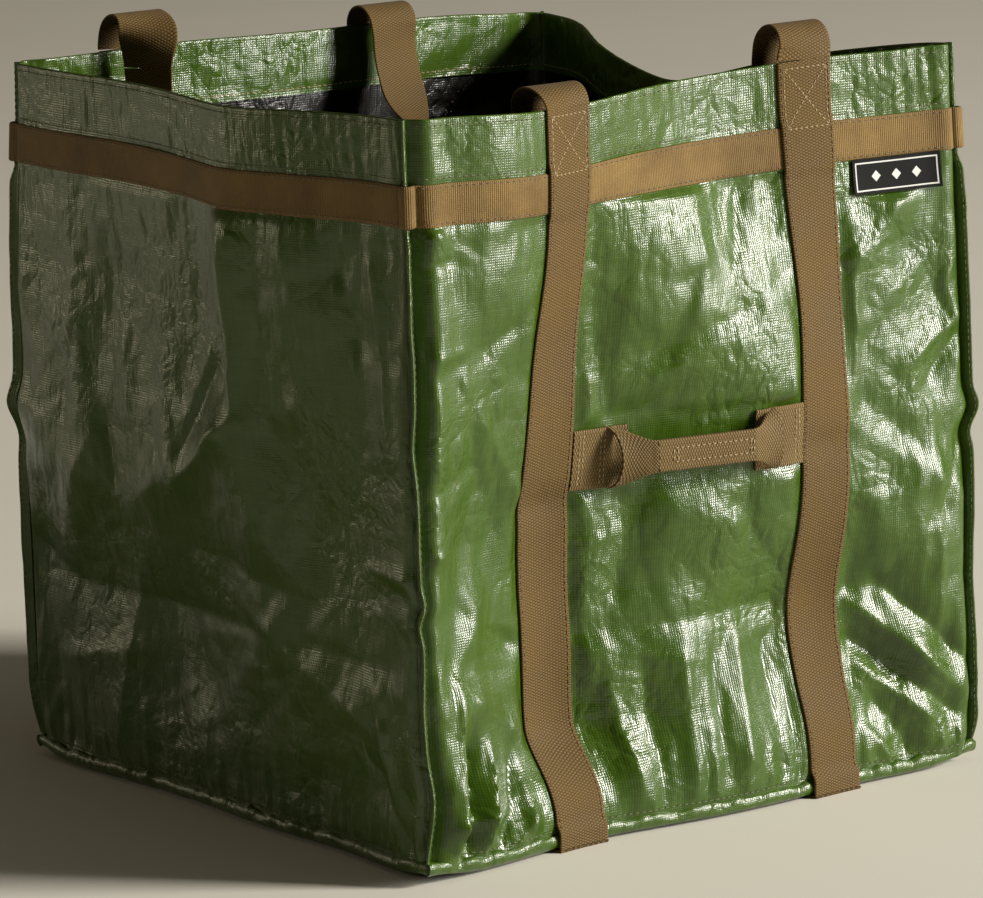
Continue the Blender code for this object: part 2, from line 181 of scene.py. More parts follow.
# How each corner wanders, by (x side, y side): (z, reach, along x, along y)
WANDER = in_metres({
    (-1, -1): (
        (262, 16, -1.2, 1), (170, 8, 1.6, -1.2), (156, 7, -1.4, 1), (50, 22, 2.2, -1.8), (10, 14, -3, -2.6),
    ),
    (-1, 1): ((236, 12, -4.8, 2), (212, 10, 1.8, 0), (0, 30, 5, -4), (456, 90, 8.5, 0)),
    (1, -1): (
        (232, 9, 3, -2), (214, 8, -2.2, 1), (120, 30, -1.2, 1), (0, 16, -4.5, 3), (456, 110, -7.5, 0),
    ),
    (1, 1): ((240, 20, -3, -1), (0, 20, -4, -3), (456, 80, 3, 0)),
})

# Which way each corner's flange points, by (x side, y side): degrees between it and the X axis
FLANGE = {(-1, -1): 62, (-1, 1): 80, (1, -1): 82, (1, 1): 60}

# How the rim rises and dips along each wall: (s, reach, amount)
RIM = in_metres({
    "front": ((-100, 60, -4.5), (110, 60, 4), (215, 60, 5)),
    "right": ((-220, 60, 5), (20, 110, -32), (220, 60, -5)),
    "back": ((-215, 60, -6), (80, 60, 2)),
    "left": ((50, 70, -3),),
})

CRUMPLED = {"front": 1.0, "right": 0.8, "back": 0.8, "left": 0.55}
SEEDS = {"front": 11, "right": 23, "back": 37, "left": 41}
PATTERN_START = {"front": 0.0, "right": 0.5, "back": 1.0, "left": 1.5}
SIDES = (("left", -1), ("right", 1))


# The walls' shape


def loop_middle(wall):
    """The x of the middle between the wall's two straps."""
    return -BACK_SHIFT if wall == "back" else 0.0


def strap_x(wall, x_side):
    return loop_middle(wall) + x_side * STRAP_PLACE


def strap_s(wall, x_side):
    """Where the strap is along its wall."""
    return strap_x(wall, x_side) * (1 if wall == "front" else -1)


def smooth(x):
    x = np.clip(x, 0.0, 1.0)
    return x * x * (3 - 2 * x)


def sag(wall, s, z):
    """How far the cloth stands out there, folds apart."""
    s, z = np.broadcast_arrays(np.asarray(s, float), np.asarray(z, float))
    half = WALLS[wall][1]
    held = np.clip(1 - np.abs(s / half) ** 6, 0, None)
    total = np.zeros(s.shape)
    for place, height, reach, reach_up, amount in SAG[wall]:
        total += amount * np.exp(-(((s - place) / reach) ** 2) - ((z - height) / reach_up) ** 2)
    total *= smooth((z - SAG_START) / SAG_FADE)
    for place, reach, amount in FOOT[wall]:
        total += amount * np.exp(-(((s - place) / reach) ** 2)) * (1 - smooth(z / 0.10))
    return total * held


def fold(s, z, ends, width, height):
    """A crease with two flat flanks, which fades at its ends."""
    s0, z0, s1, z1 = ends
    length = math.hypot(s1 - s0, z1 - z0)
    along_s, along_z = (s1 - s0) / length, (z1 - z0) / length
    t = ((s - s0) * along_s + (z - z0) * along_z) / length
    d = ((z - z0) * along_s - (s - s0) * along_z) / width
    window = smooth((t + 0.12) / 0.35) * smooth((1.12 - t) / 0.35)
    return height * window * np.exp(0.12 - np.sqrt(d * d + 0.0144))


def crumple(rng, s, z, wall, count, reach_range, slope_range, upright, soft):
    """Many short creases with flat flanks. upright is the share of them that stand upright."""
    half = WALLS[wall][1]
    share = CRUMPLED[wall]
    total = np.zeros(s.shape)
    for _ in range(count):
        s0, z0 = rng.uniform(-half, half), rng.uniform(0.0, HEIGHT)
        angle = rng.normal(0, 0.35) if rng.random() < upright else rng.uniform(0, math.pi)
        reach = rng.uniform(*reach_range)
        long = rng.uniform(1.6, 4.5)
        slope = rng.uniform(*slope_range) * rng.choice((-1, 1))
        d = ((s - s0) * math.cos(angle) + (z - z0) * math.sin(angle)) / reach
        q = ((z - z0) * math.cos(angle) - (s - s0) * math.sin(angle)) / (reach * long)
        near = (np.abs(d) < 2.4) & (np.abs(q) < 2.4)
        dn, qn = d[near], q[near]
        sharp = np.sqrt(dn * dn + soft)
        total[near] += share * slope * reach * np.exp(-dn * dn - qn * qn) * (sharp - 0.35)
    return total


def puckers(rng, s, longest, shortest, count=14):
    total = np.zeros(s.shape)
    for _ in range(count):
        wave = rng.uniform(shortest, longest)
        beat = rng.uniform(0.04, 0.12)
        shift, beat_shift = rng.uniform(0, 2 * math.pi, 2)
        swell = 0.5 + 0.5 * np.sin(2 * math.pi * s / beat + beat_shift)
        total += np.sin(2 * math.pi * s / wave + shift) * swell
    return total / math.sqrt(count)


def box_hold(s, z, low_s, high_s, low_z, high_z, soft):
    """1 inside the box and 0 further than soft from it."""
    across = smooth(1 - np.maximum(low_s - s, s - high_s) / soft)
    up = smooth(1 - np.maximum(low_z - z, z - high_z) / soft)
    return across * up


def hold(wall, s, z):
    """How firmly sewn webbing keeps the cloth flat there."""
    half = WALLS[wall][1]
    held = 0.85 * box_hold(s, z, -half, half, BAND_BOTTOM + 0.002, BAND_TOP - 0.002, 0.008)
    if wall in ("front", "back"):
        for x_side in (-1, 1):
            middle = strap_s(wall, x_side)
            edge = STRAP_WIDTH / 2
            held = np.maximum(held, 0.94 * box_hold(s, z, middle - edge, middle + edge, 0, HEIGHT, 0.010))
            tab = sorted(grab_end(wall, x_side))
            low, high = GRAB_HEIGHT - edge, GRAB_HEIGHT + edge
            held = np.maximum(held, 0.92 * box_hold(s, z, tab[0], tab[1], low, high, 0.008))
        grip = sorted(grab_end(wall, x_side)[1] for x_side in (-1, 1))
        held = np.maximum(held, 0.6 * box_hold(s, z, *grip, GRAB_HEIGHT - 0.02, GRAB_HEIGHT + 0.02, 0.010))
        if wall == "front":
            ends = (LABEL_PLACE - LABEL_WIDTH / 2, LABEL_PLACE + LABEL_WIDTH / 2)
            under_label = box_hold(s, z, *ends, BAND_BOTTOM - LABEL_HEIGHT, BAND_BOTTOM, 0.006)
            held = np.maximum(held, 0.97 * under_label)
    return held


def grab_end(wall, x_side):
    """Where a grab handle's tab ends at its strap and where its grip starts, along the wall."""
    s_side = x_side if wall == "front" else -x_side
    outer = strap_s(wall, x_side) - s_side * (STRAP_WIDTH / 2 + 0.0004)
    return outer, outer - s_side * GRAB_TAB


def make_relief(wall):
    """The folds and crumples of the wall on a fine grid, which the shape of all its pieces is read from."""
    rng = np.random.default_rng(SEEDS[wall])
    half = WALLS[wall][1]
    places = np.linspace(-half, half, 331)
    heights = np.linspace(0, HEIGHT, 351)
    s, z = np.meshgrid(places, heights, indexing="ij")
    total = np.zeros(s.shape)
    for *ends, width, height in FOLDS[wall]:
        total += fold(s, z, ends, width, height)
    total *= FOLD_STRENGTH
    total += crumple(rng, s, z, wall, 30, (0.045, 0.095), (0.05, 0.13), 0.35, 0.010)
    total += crumple(rng, s, z, wall, 60, (0.014, 0.034), (0.08, 0.20), 0.55, 0.0012)
    total += crumple(rng, s, z, wall, 200, (0.004, 0.012), (0.08, 0.26), 0.5, 0.0016)
    hem = smooth((z - BAND_TOP) / 0.004) * smooth((HEIGHT - z) / 0.003 + 0.35)
    below = smooth((BAND_BOTTOM - z) / 0.004) * np.exp(-np.clip(BAND_BOTTOM - z, 0, None) / 0.022)
    foot = smooth((z - BASE_SEAM_TOP) / 0.006) * np.exp(-np.clip(z - BASE_SEAM_TOP, 0, None) / 0.030)
    total *= 1 - 0.8 * smooth((z - BAND_BOTTOM) / 0.01)
    total += puckers(rng, s + 0.12 * (z - BAND_TOP), 0.016, 0.006) * 0.00042 * hem
    total += puckers(rng, s, 0.020, 0.007) * 0.00050 * below
    total += puckers(rng, s, 0.030, 0.009) * 0.0016 * foot
    total *= 1 - hold(wall, s, z)
    ends = smooth((half - np.abs(s)) / 0.012)
    return places, heights, total * ends * smooth(z / 0.02)


RELIEF = {wall: make_relief(wall) for wall in WALLS}


def relief(wall, s, z):
    """The relief at any point, from the grid."""
    places, heights, total = RELIEF[wall]
    i = np.clip((s - places[0]) / (places[1] - places[0]), 0, len(places) - 1.001)
    j = np.clip(z / (heights[1] - heights[0]), 0, len(heights) - 1.001)
    a, b = i.astype(int), j.astype(int)
    u, v = i - a, j - b
    low = total[a, b] * (1 - u) + total[a + 1, b] * u
    high = total[a, b + 1] * (1 - u) + total[a + 1, b + 1] * u
    return low * (1 - v) + high * v


def wander(corner, z):
    shift = np.zeros((*np.shape(z), 2))
    for height, reach, x, y in WANDER[corner]:
        bump = np.exp(-(((z - height) / reach) ** 2))
        shift[..., 0] += bump * x
        shift[..., 1] += bump * y
    return shift


def wall_corner(wall, end):
    """The corner at an end (-1 or 1) of the wall, as its (x side, y side)."""
    (out_x, out_y), _, _ = WALLS[wall]
    x = out_x - out_y * end
    y = out_y + out_x * end
    return (int(x), int(y))


def corner_root(corner, z):
    """Where the corner's flange starts at a height, as x and y."""
    x_side, y_side = corner
    root = np.array((x_side * (WIDTH / 2 - 0.3 * PINCH), y_side * (DEPTH / 2 - PINCH)))
    return root + wander(corner, np.asarray(z))


def rim_rise(wall, s, z):
    rise = sum(amount * np.exp(-(((s - place) / reach) ** 2)) for place, reach, amount in RIM[wall])
    return rise * np.clip(z / HEIGHT, 0, 1) ** 4


def corner_rise(from_end, z):
    """The foot's corners stand a little off the floor."""
    return 0.0045 * np.exp(-((from_end / 0.022) ** 2) - np.clip(z, 0, None) / 0.035)


def on_wall(wall, s, z, lift=0.0, folds=1.0, pinch=1.0):
    """Points on the wall's outside, lifted off it. Each end is pinched in towards its corner seam."""
    s, z, lift = np.broadcast_arrays(np.asarray(s, float), np.asarray(z, float), np.asarray(lift, float))
    (out_x, out_y), half, distance = WALLS[wall]
    from_end = np.clip(half - np.abs(s), 0, None)
    drawn = pinch * PINCH * np.exp(-((from_end / 0.0055) ** 2))
    out_share, along_share = (1.0, 0.3) if wall in ("front", "back") else (0.3, 1.0)
    belly = pinch * out_share * 0.0032 * np.exp(-(((from_end - 0.013) / 0.009) ** 2))
    out = distance + sag(wall, s, z) + lift + folds * relief(wall, s, z) + belly - out_share * drawn
    along = s - np.sign(s) * along_share * drawn
    z = z + rim_rise(wall, s, z) + corner_rise(from_end, z)
    points = np.stack((out_x * out - out_y * along, out_y * out + out_x * along, z), axis=-1)
    for end in (-1, 1):
        near = np.exp(-np.clip(half - end * s, 0, None) / 0.030)[..., None]
        points[..., :2] += near * wander(wall_corner(wall, end), z)
    return points


def spaced(low, high, step=STEP):
    return np.linspace(low, high, max(2, int(round((high - low) / step)) + 1))


# Meshes


def unit(vectors):
    """Each vector at length 1."""
    return vectors / np.linalg.norm(vectors, axis=-1)[..., None]


def run_length(points):
    """How far along their line each of the points is."""
    return np.concatenate(([0], np.cumsum(np.linalg.norm(np.diff(points, axis=0), axis=1))))


def pattern(across, along):
    """Where each point of a grid is on its flat cloth."""
    return np.stack(np.broadcast_arrays(across[:, None], along[None, :]), -1)


def finish_mesh(name, verts, faces, indices, places, materials, sharp=50):
    mesh = bpy.data.meshes.new(name)
    mesh.from_pydata(verts.tolist(), [], faces)
    mesh.update()
    if places is not None:
        attribute = mesh.attributes.new("cloth", "FLOAT_VECTOR", "POINT")
        attribute.data.foreach_set("vector", places.astype(np.float32).ravel())
    for material in materials:
        mesh.materials.append(material)
    if indices is not None:
        mesh.polygons.foreach_set("material_index", indices)
    mesh.shade_smooth()
    mesh.set_sharp_from_angle(angle=math.radians(sharp))
    obj = bpy.data.objects.new(name, mesh)
    bpy.context.scene.collection.objects.link(obj)
    return obj


def volume(verts, faces):
    """Six times the volume, where all the faces have four corners."""
    q = verts[np.asarray(faces)]
    first = np.einsum("ij,ij->", q[:, 0], np.cross(q[:, 1], q[:, 2]))
    return first + np.einsum("ij,ij->", q[:, 0], np.cross(q[:, 2], q[:, 3]))


def slab(name, outer, inner, places, materials, wrap=False):
    """A closed sheet between two grids of points. materials are its outside's and its inside's."""
    n, m = outer.shape[:2]
    verts = np.concatenate((outer.reshape(-1, 3), inner.reshape(-1, 3)))
    grid = np.arange(n * m).reshape(n, m)
    if wrap:
        grid = np.concatenate((grid, grid[:1]))
    a, b, c, d = grid[:-1, :-1], grid[1:, :-1], grid[1:, 1:], grid[:-1, 1:]
    top = np.stack((a, b, c, d), -1).reshape(-1, 4)
    under = top[:, ::-1] + n * m
    edges = [grid[:, 0], grid[::-1, -1]]
    if not wrap:
        edges += [grid[-1, :], grid[0, ::-1]]
    sides = []
    for edge in edges:
        sides.append(np.stack((edge[1:], edge[:-1], edge[:-1] + n * m, edge[1:] + n * m), -1))
    faces = np.concatenate((top, under, *sides))
    if volume(verts, faces) < 0:
        faces = faces[:, ::-1]
    indices = np.zeros(len(faces), np.int32)
    if len(materials) > 1:
        indices[len(top) : len(top) + len(under)] = 1
    flat = places.reshape(-1, 2)
    side = np.ones(len(flat))
    spots = np.concatenate((np.column_stack((flat, side)), np.column_stack((flat, -side))))
    return finish_mesh(name, verts, faces.tolist(), indices, spots, materials)


def add_piece(obj, node, body="bag"):
    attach(obj, body)
    if node:
        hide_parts(node)
    return obj


def rounded(share, edge):
    """0 at both ends of a strip's width, 1 over its middle. share is from 0 to 1."""
    near = np.clip(np.minimum(share, 1 - share) / edge, 0, 1)
    return np.sqrt(1 - (1 - near) ** 2)


def strap_thick(share):
    """How thick a strap is, which its woven edges thin out."""
    return STRAP * (0.4 + 0.6 * rounded(share, 0.03))


def edge_columns(width, middle=9):
    """Shares across a strip, closer together at its edges."""
    rim = [0.0, 0.004, 0.013, 0.030]
    return np.array(rim + list(np.linspace(0.07, 0.93, middle)) + [1 - r for r in rim[::-1]])


# Materials


def add(tree, kind, inputs=None, **settings):
    made = tree.nodes.new("ShaderNode" + kind)
    for key, value in settings.items():
        setattr(made, key, value)
    for key, value in (inputs or {}).items():
        if isinstance(value, bpy.types.NodeSocket):
            tree.links.new(value, made.inputs[key])
        else:
            made.inputs[key].default_value = value
    return made


def calc(tree, operation, a, b=0.0, c=0.0):
    return add(tree, "Math", {0: a, 1: b, 2: c}, operation=operation).outputs[0]


def times(tree, a, b):
    return calc(tree, "MULTIPLY", a, b)


def sine(tree, place, pitch):
    """A wave along place, from -1 to 1."""
    return calc(tree, "SINE", times(tree, place, 2 * math.pi / pitch))


def ridges(tree, place, pitch):
    """0 at each pitch along place, rising to 1 between."""
    return calc(tree, "ABSOLUTE", calc(tree, "SINE", times(tree, place, math.pi / pitch)))


def stretched(tree, place, scale):
    return add(tree, "Mapping", {"Vector": place, "Scale": scale}).outputs[0]


def mix(tree, factor, a, b):
    made = add(tree, "Mix", data_type="RGBA")
    for name, value in (("Factor", factor), ("A", a), ("B", b)):
        pick = [i for i in made.inputs if i.name == name and i.enabled][0]
        if isinstance(value, bpy.types.NodeSocket):
            tree.links.new(value, pick)
        else:
            pick.default_value = (*value, 1) if isinstance(value, tuple) and len(value) == 3 else value
    return [o for o in made.outputs if o.enabled][0]


def grey(tree, socket, low, high, to_low=0.0, to_high=1.0):
    return add(tree, "MapRange", {0: socket, 1: low, 2: high, 3: to_low, 4: to_high}).outputs[0]


def noise(tree, place, scale, detail=2.0, rough=0.5):
    inputs = {"Vector": place, "Scale": scale, "Detail": detail, "Roughness": rough}
    return add(tree, "TexNoise", inputs).outputs["Fac"]


def cells(tree, place, scale):
    """How far it is to the nearest edge between two cells."""
    inputs = {"Vector": place, "Scale": scale}
    return add(tree, "TexVoronoi", inputs, feature="DISTANCE_TO_EDGE").outputs["Distance"]


def bump(tree, height, distance, under=None):
    inputs = {"Strength": 1.0, "Distance": distance, "Height": height}
    if under is not None:
        inputs["Normal"] = under
    return add(tree, "Bump", inputs).outputs["Normal"]


def start_material(name, **uniform):
    material = bpy.data.materials.new(name)
    material.use_nodes = True
    tree = material.node_tree
    shader = tree.nodes["Principled BSDF"]
    for key, value in uniform.items():
        shader.inputs[key.replace("_", " ")].default_value = value
    place = add(tree, "Attribute", attribute_name="cloth").outputs["Vector"]
    apart = add(tree, "SeparateXYZ", {0: place}).outputs
    return material, tree, shader, place, apart["X"], apart["Y"]


def finish_material(tree, shader, **found):
    """Joins what the nodes found to the shader's sockets of those names."""
    for key, socket in found.items():
        tree.links.new(socket, shader.inputs[key.replace("_", " ")])


TAPE = 0.0015


def tarpaulin(name, deep, mid, light, roughness, seed):
    """Laminated woven tape: a fine grid, soft waves and crazed creases under a glossy film."""
    material, tree, shader, place, s, z = start_material(
        name, IOR=1.42, Coat_Weight=0.65, Coat_Roughness=0.10, Coat_IOR=1.45
    )
    shifted = add(tree, "Mapping", {"Vector": place, "Location": (seed, seed * 0.7, 0)}).outputs[0]
    bend = add(tree, "TexNoise", {"Vector": shifted, "Scale": 18.0, "Detail": 2.0}).outputs["Color"]
    pushed = add(tree, "VectorMath", {0: bend, "Scale": 0.028}, operation="SCALE").outputs[0]
    warped = add(tree, "VectorMath", {0: shifted, 1: pushed}, operation="ADD").outputs[0]
    # crumpled facets: each cell is a low roof with flat sides
    large, middle, small = (cells(tree, warped, scale) for scale in (17.0, 43.0, 120.0))
    where = grey(tree, noise(tree, shifted, 11.0, 2.0), 0.44, 0.60)
    waves = noise(tree, warped, 30.0, 1.0, 0.3)
    streaks = noise(tree, stretched(tree, warped, (4.0, 1.0, 1.0)), 40.0, 1.0, 0.4)
    # the woven tapes
    grid = times(tree, *(calc(tree, "POWER", ridges(tree, way, TAPE), 0.5) for way in (s, z)))
    ways = ((1.0, 0.04, 1.0), (0.04, 1.0, 1.0))
    tapes = calc(tree, "ADD", *(noise(tree, stretched(tree, place, way), 420.0, 1.0) for way in ways))

    body = mix(tree, grey(tree, noise(tree, shifted, 6.0, 5.0, 0.6), 0.35, 0.68), deep, mid)
    body = mix(tree, grey(tree, tapes, 0.8, 1.3, 0.0, 0.25), body, light)
    crease = grey(tree, middle, 0.0, 0.030, 1.0, 0.0)
    body = mix(tree, times(tree, crease, times(tree, where, 0.30)), body, light)
    # Painted shade: where the grid sinks into the weave's grooves, the colour is painted darker towards deep.
    body = mix(tree, grey(tree, grid, 0.2, 0.9, 0.75, 0.0), body, deep)
    rough = grey(tree, noise(tree, shifted, 30.0, 4.0, 0.6), 0.3, 0.7, roughness - 0.05, roughness + 0.08)

    height = bump(tree, large, 0.0026)
    height = bump(tree, middle, 0.0009, height)
    height = bump(tree, times(tree, middle, where), 0.0012, height)
    height = bump(tree, times(tree, small, where), 0.0009, height)
    height = bump(tree, waves, 0.0014, height)
    height = bump(tree, streaks, 0.0007, height)
    film = bump(tree, calc(tree, "ADD", grid, times(tree, tapes, 0.8)), 0.00010, height)
    finish_material(tree, shader, Base_Color=body, Roughness=rough, Normal=film, Coat_Normal=film)
    return material


YARN = {"IOR": 1.3, "Sheen_Weight": 0.06, "Sheen_Roughness": 0.5}


def webbing(name, deep, mid, light, width=STRAP_WIDTH, column=0.0020, pitch=0.0018):
    """Woven tape: short ribs in narrow columns, each column half a rib higher than the last."""
    material, tree, shader, place, u, v = start_material(name, **YARN)
    turns = calc(tree, "FLOORED_MODULO", calc(tree, "FLOOR", calc(tree, "DIVIDE", u, column)), 2.0)
    phase = calc(tree, "MULTIPLY_ADD", turns, 0.5, calc(tree, "DIVIDE", v, pitch))
    phase = calc(tree, "ADD", phase, times(tree, noise(tree, place, 900.0), 0.25))
    rib = grey(tree, sine(tree, phase, 1.0), -1.0, 1.0)
    groove = calc(tree, "POWER", ridges(tree, u, column), 0.35)
    edge = grey(tree, calc(tree, "ABSOLUTE", u), width / 2 - 0.0022, width / 2 - 0.0016)
    plain = grey(tree, sine(tree, v, 0.0016), -1.0, 1.0)
    height = mix(tree, edge, times(tree, rib, groove), plain)
    wear = grey(tree, noise(tree, place, 22.0, 5.0, 0.65), 0.3, 0.7)
    body = mix(tree, wear, deep, mid)
    # Painted highlight and painted shade: the raised ribs are painted lighter and the grooves between them
    # darker, from the same height the bump uses.
    body = mix(tree, grey(tree, height, 0.15, 0.9, 0.0, 0.75), body, light)
    body = mix(tree, grey(tree, height, 0.0, 0.35, 0.45, 0.0), body, tuple(0.35 * c for c in deep))
    rough = grey(tree, wear, 0.0, 1.0, 0.55, 0.75)
    normal = bump(tree, height, 0.00028, bump(tree, noise(tree, place, 60.0, 3.0), 0.0004))
    finish_material(tree, shader, Base_Color=body, Roughness=rough, Normal=normal)
    return material


def ribbed(name, deep, light, pitch):
    """Grosgrain: fine ribs across the strip."""
    material, tree, shader, place, s, z = start_material(name, **YARN)
    fuzz = times(tree, noise(tree, place, 700.0), 1.6)
    rib = calc(tree, "SINE", calc(tree, "ADD", times(tree, s, 2 * math.pi / pitch), fuzz))
    rib = grey(tree, rib, -1.0, 1.0)
    height = calc(tree, "MULTIPLY_ADD", sine(tree, z, 0.0011), 0.16, rib)
    wear = grey(tree, noise(tree, place, 26.0, 5.0, 0.65), 0.3, 0.7)
    body = mix(tree, wear, deep, light)
    # Painted shade: the grooves between the ribs are painted darker, from the same height the bump uses.
    body = mix(tree, grey(tree, height, 0.0, 0.5, 0.55, 0.0), body, tuple(0.4 * c for c in deep))
    rough = grey(tree, wear, 0.0, 1.0, 0.5, 0.72)
    normal = bump(tree, height, 0.00022, bump(tree, noise(tree, place, 70.0, 3.0), 0.0006))
    finish_material(tree, shader, Base_Color=body, Roughness=rough, Normal=normal)
    return material


def thread(name, colour):
    material, tree, shader, place, s, z = start_material(name, IOR=1.5, Sheen_Weight=0.3, Roughness=0.6)
    twist = sine(tree, calc(tree, "ADD", s, z), 0.0007)
    body = mix(tree, grey(tree, twist, -1.0, 1.0, 0.0, 0.6), colour, tuple(0.6 * c for c in colour))
    worn = grey(tree, noise(tree, place, 40.0, 3.0), 0.35, 0.65, 0.0, 0.4)
    body = mix(tree, worn, body, tuple(0.7 * c for c in colour))
    finish_material(tree, shader, Base_Color=body, Normal=bump(tree, twist, 0.0001))
    return material


def woven_label(name):
    """A plain black woven tab: a pale border line and three small diamonds."""
    material, tree, shader, _, u, v = start_material(name, IOR=1.2, Roughness=0.55)
    side_u, side_v = calc(tree, "ABSOLUTE", u), calc(tree, "ABSOLUTE", v)
    from_end = calc(tree, "SUBTRACT", LABEL_WIDTH / 2, side_u)
    from_edge = calc(tree, "MINIMUM", from_end, calc(tree, "SUBTRACT", LABEL_HEIGHT / 2, side_v))
    line = calc(tree, "COMPARE", from_edge, 0.0024, 0.00045)
    pitch, size = 0.015, 0.0034
    cell = calc(tree, "FLOORED_MODULO", calc(tree, "ADD", u, pitch / 2), pitch)
    diamond = calc(tree, "ADD", calc(tree, "ABSOLUTE", calc(tree, "SUBTRACT", cell, pitch / 2)), side_v)
    inside = calc(tree, "LESS_THAN", side_u, 1.4 * pitch)
    pale = calc(tree, "MAXIMUM", line, times(tree, calc(tree, "LESS_THAN", diamond, size), inside))
    height = times(tree, sine(tree, u, 0.0008), sine(tree, v, 0.0006))
    raised = grey(tree, height, -1.0, 1.0)
    # Painted highlight: the raised threads of the weave are painted lighter than the sunken ones, on both the
    # black and the pale yarn.
    base = mix(tree, raised, (0.003, 0.003, 0.003), (0.010, 0.010, 0.010))
    body = mix(tree, pale, base, mix(tree, raised, (0.55, 0.55, 0.53), (0.78, 0.78, 0.75)))
    finish_material(tree, shader, Base_Color=body, Normal=bump(tree, height, 0.00005))
    return material


GREEN = tarpaulin(
    "green_tarpaulin", (0.030, 0.072, 0.001), (0.047, 0.096, 0.002), (0.095, 0.160, 0.015), 0.30, 1.3
)
FACING = tarpaulin(
    "green_facing", (0.034, 0.080, 0.001), (0.054, 0.106, 0.003), (0.100, 0.165, 0.020), 0.30, 2.9
)
LINING = tarpaulin(
    "dark_lining", (0.004, 0.003, 0.002), (0.007, 0.006, 0.004), (0.018, 0.016, 0.012), 0.34, 4.1
)
BROWN = webbing("brown_webbing", (0.064, 0.033, 0.005), (0.108, 0.061, 0.011), (0.190, 0.120, 0.034))
TAN = webbing("tan_webbing", (0.095, 0.053, 0.013), (0.150, 0.095, 0.030), (0.260, 0.182, 0.078))
BAND_CLOTH = ribbed("tan_band", (0.130, 0.074, 0.018), (0.262, 0.168, 0.054), 0.0014)
CREAM = thread("cream_thread", (0.50, 0.37, 0.18))
BROWN_THREAD = thread("brown_thread", (0.17, 0.095, 0.028))
GREEN_THREAD = thread("green_thread", (0.120, 0.140, 0.040))
BLACK_LABEL = woven_label("black_label")


# Thread


STITCH = 0.0031
STITCH_GAP = 0.0013
SHORT_STITCH = {"length": 0.0024, "gap": 0.0012}
ROUND = 6  # points round a thread
SPINDLE = ((0.0, 0.35, -0.4), (0.14, 1.0, 0.25), (0.5, 1.1, 0.6), (0.86, 1.0, 0.25), (1.0, 0.35, -0.4))
stitches = {}


def sew(group, points, normals, material, length=STITCH, gap=STITCH_GAP, thick=0.00032):
    """A row of stitches along the line of points, lying on the cloth, kept for its group's one mesh."""
    points, normals = np.asarray(points, float), np.asarray(normals, float)
    reached = run_length(points)
    count = max(1, int(reached[-1] / (length + gap)))
    pitch = reached[-1] / count
    length = pitch * length / (length + gap)
    starts = np.arange(count) * pitch + (pitch - length) / 2

    def at(places, values):
        return np.stack([np.interp(places, reached, values[:, k]) for k in range(3)], -1)

    a, b = at(starts, points), at(starts + length, points)
    n = unit(at(starts + length / 2, normals))
    side = np.cross(unit(b - a), n)
    rings = []
    for share, size, rise in SPINDLE:
        centre = a + (b - a) * share + n * thick * rise
        for k in range(ROUND):
            angle = 2 * math.pi / ROUND * k
            rings.append(centre + (side * math.cos(angle) * 1.15 + n * math.sin(angle) * 0.8) * thick * size)
    verts = np.stack(rings, 1)
    stitches.setdefault(group, []).append((verts, material))


def sew_on_wall(group, wall, s, z, lift, material, **more):
    """A row of stitches along (s, z) on the wall."""
    s, z = np.broadcast_arrays(np.asarray(s, float), np.asarray(z, float))
    out = WALLS[wall][0]
    points = on_wall(wall, s, z, lift)
    normals = np.tile((out[0], out[1], 0.0), (len(s), 1))
    sew(group, points, normals, material, **more)


def make_stitches():
    """One mesh of thread for each group: each stitch is a closed spindle."""
    points = ROUND * len(SPINDLE)
    faces = []
    for ring in range(len(SPINDLE) - 1):
        for k in range(ROUND):
            a, b = ring * ROUND + k, ring * ROUND + (k + 1) % ROUND
            faces.append((a, b, b + ROUND, a + ROUND))
    caps = [(5, 4, 3, 2), (5, 2, 1, 0), (24, 25, 26, 27), (24, 27, 28, 29)]
    faces = np.array(faces + caps)
    made = {}
    for group, rows in stitches.items():
        materials = list(dict.fromkeys(material for _, material in rows))
        all_verts, all_faces, indices, count = [], [], [], 0
        for verts, material in rows:
            number = len(verts)
            offsets = count + points * np.arange(number)
            all_verts.append(verts.reshape(-1, 3))
            all_faces.append((faces[None] + offsets[:, None, None]).reshape(-1, 4))
            indices += [materials.index(material)] * (number * len(faces))
            count += points * number
        verts, quads = np.concatenate(all_verts), np.concatenate(all_faces)
        if volume(verts, quads) < 0:
            quads = quads[:, ::-1]
        made[group] = finish_mesh(group, verts, quads.tolist(), indices, verts, materials, sharp=80)
    return made


# Cloth


def make_panel(wall):
    """The wall's cloth, green outside and dark inside, rolled over at the rim."""
    half = WALLS[wall][1]
    s = spaced(-half, half)
    z = spaced(0.0033, HEIGHT - RIM_ROLL)
    turn = np.linspace(0, math.pi, 9)[1:]
    lift = np.concatenate((np.zeros(len(z)), RIM_ROLL * (np.cos(turn) - 1)))
    level = np.concatenate((z, HEIGHT - RIM_ROLL + RIM_ROLL * np.sin(turn)))
    under_lift = np.concatenate((np.full(len(z), -CLOTH), (RIM_ROLL - CLOTH) * np.cos(turn) - RIM_ROLL))
    under_level = np.concatenate((z, HEIGHT - RIM_ROLL + (RIM_ROLL - CLOTH) * np.sin(turn)))
    outer = on_wall(wall, s[:, None], level[None, :], lift[None, :])
    inner = on_wall(wall, s[:, None], under_level[None, :], under_lift[None, :])
    places = pattern(s + PATTERN_START[wall], level - lift)
    panel = slab(f"{wall}_panel_cloth", outer, inner, places, [GREEN, LINING])
    add_piece(panel, f"{wall}_panel")
    return panel


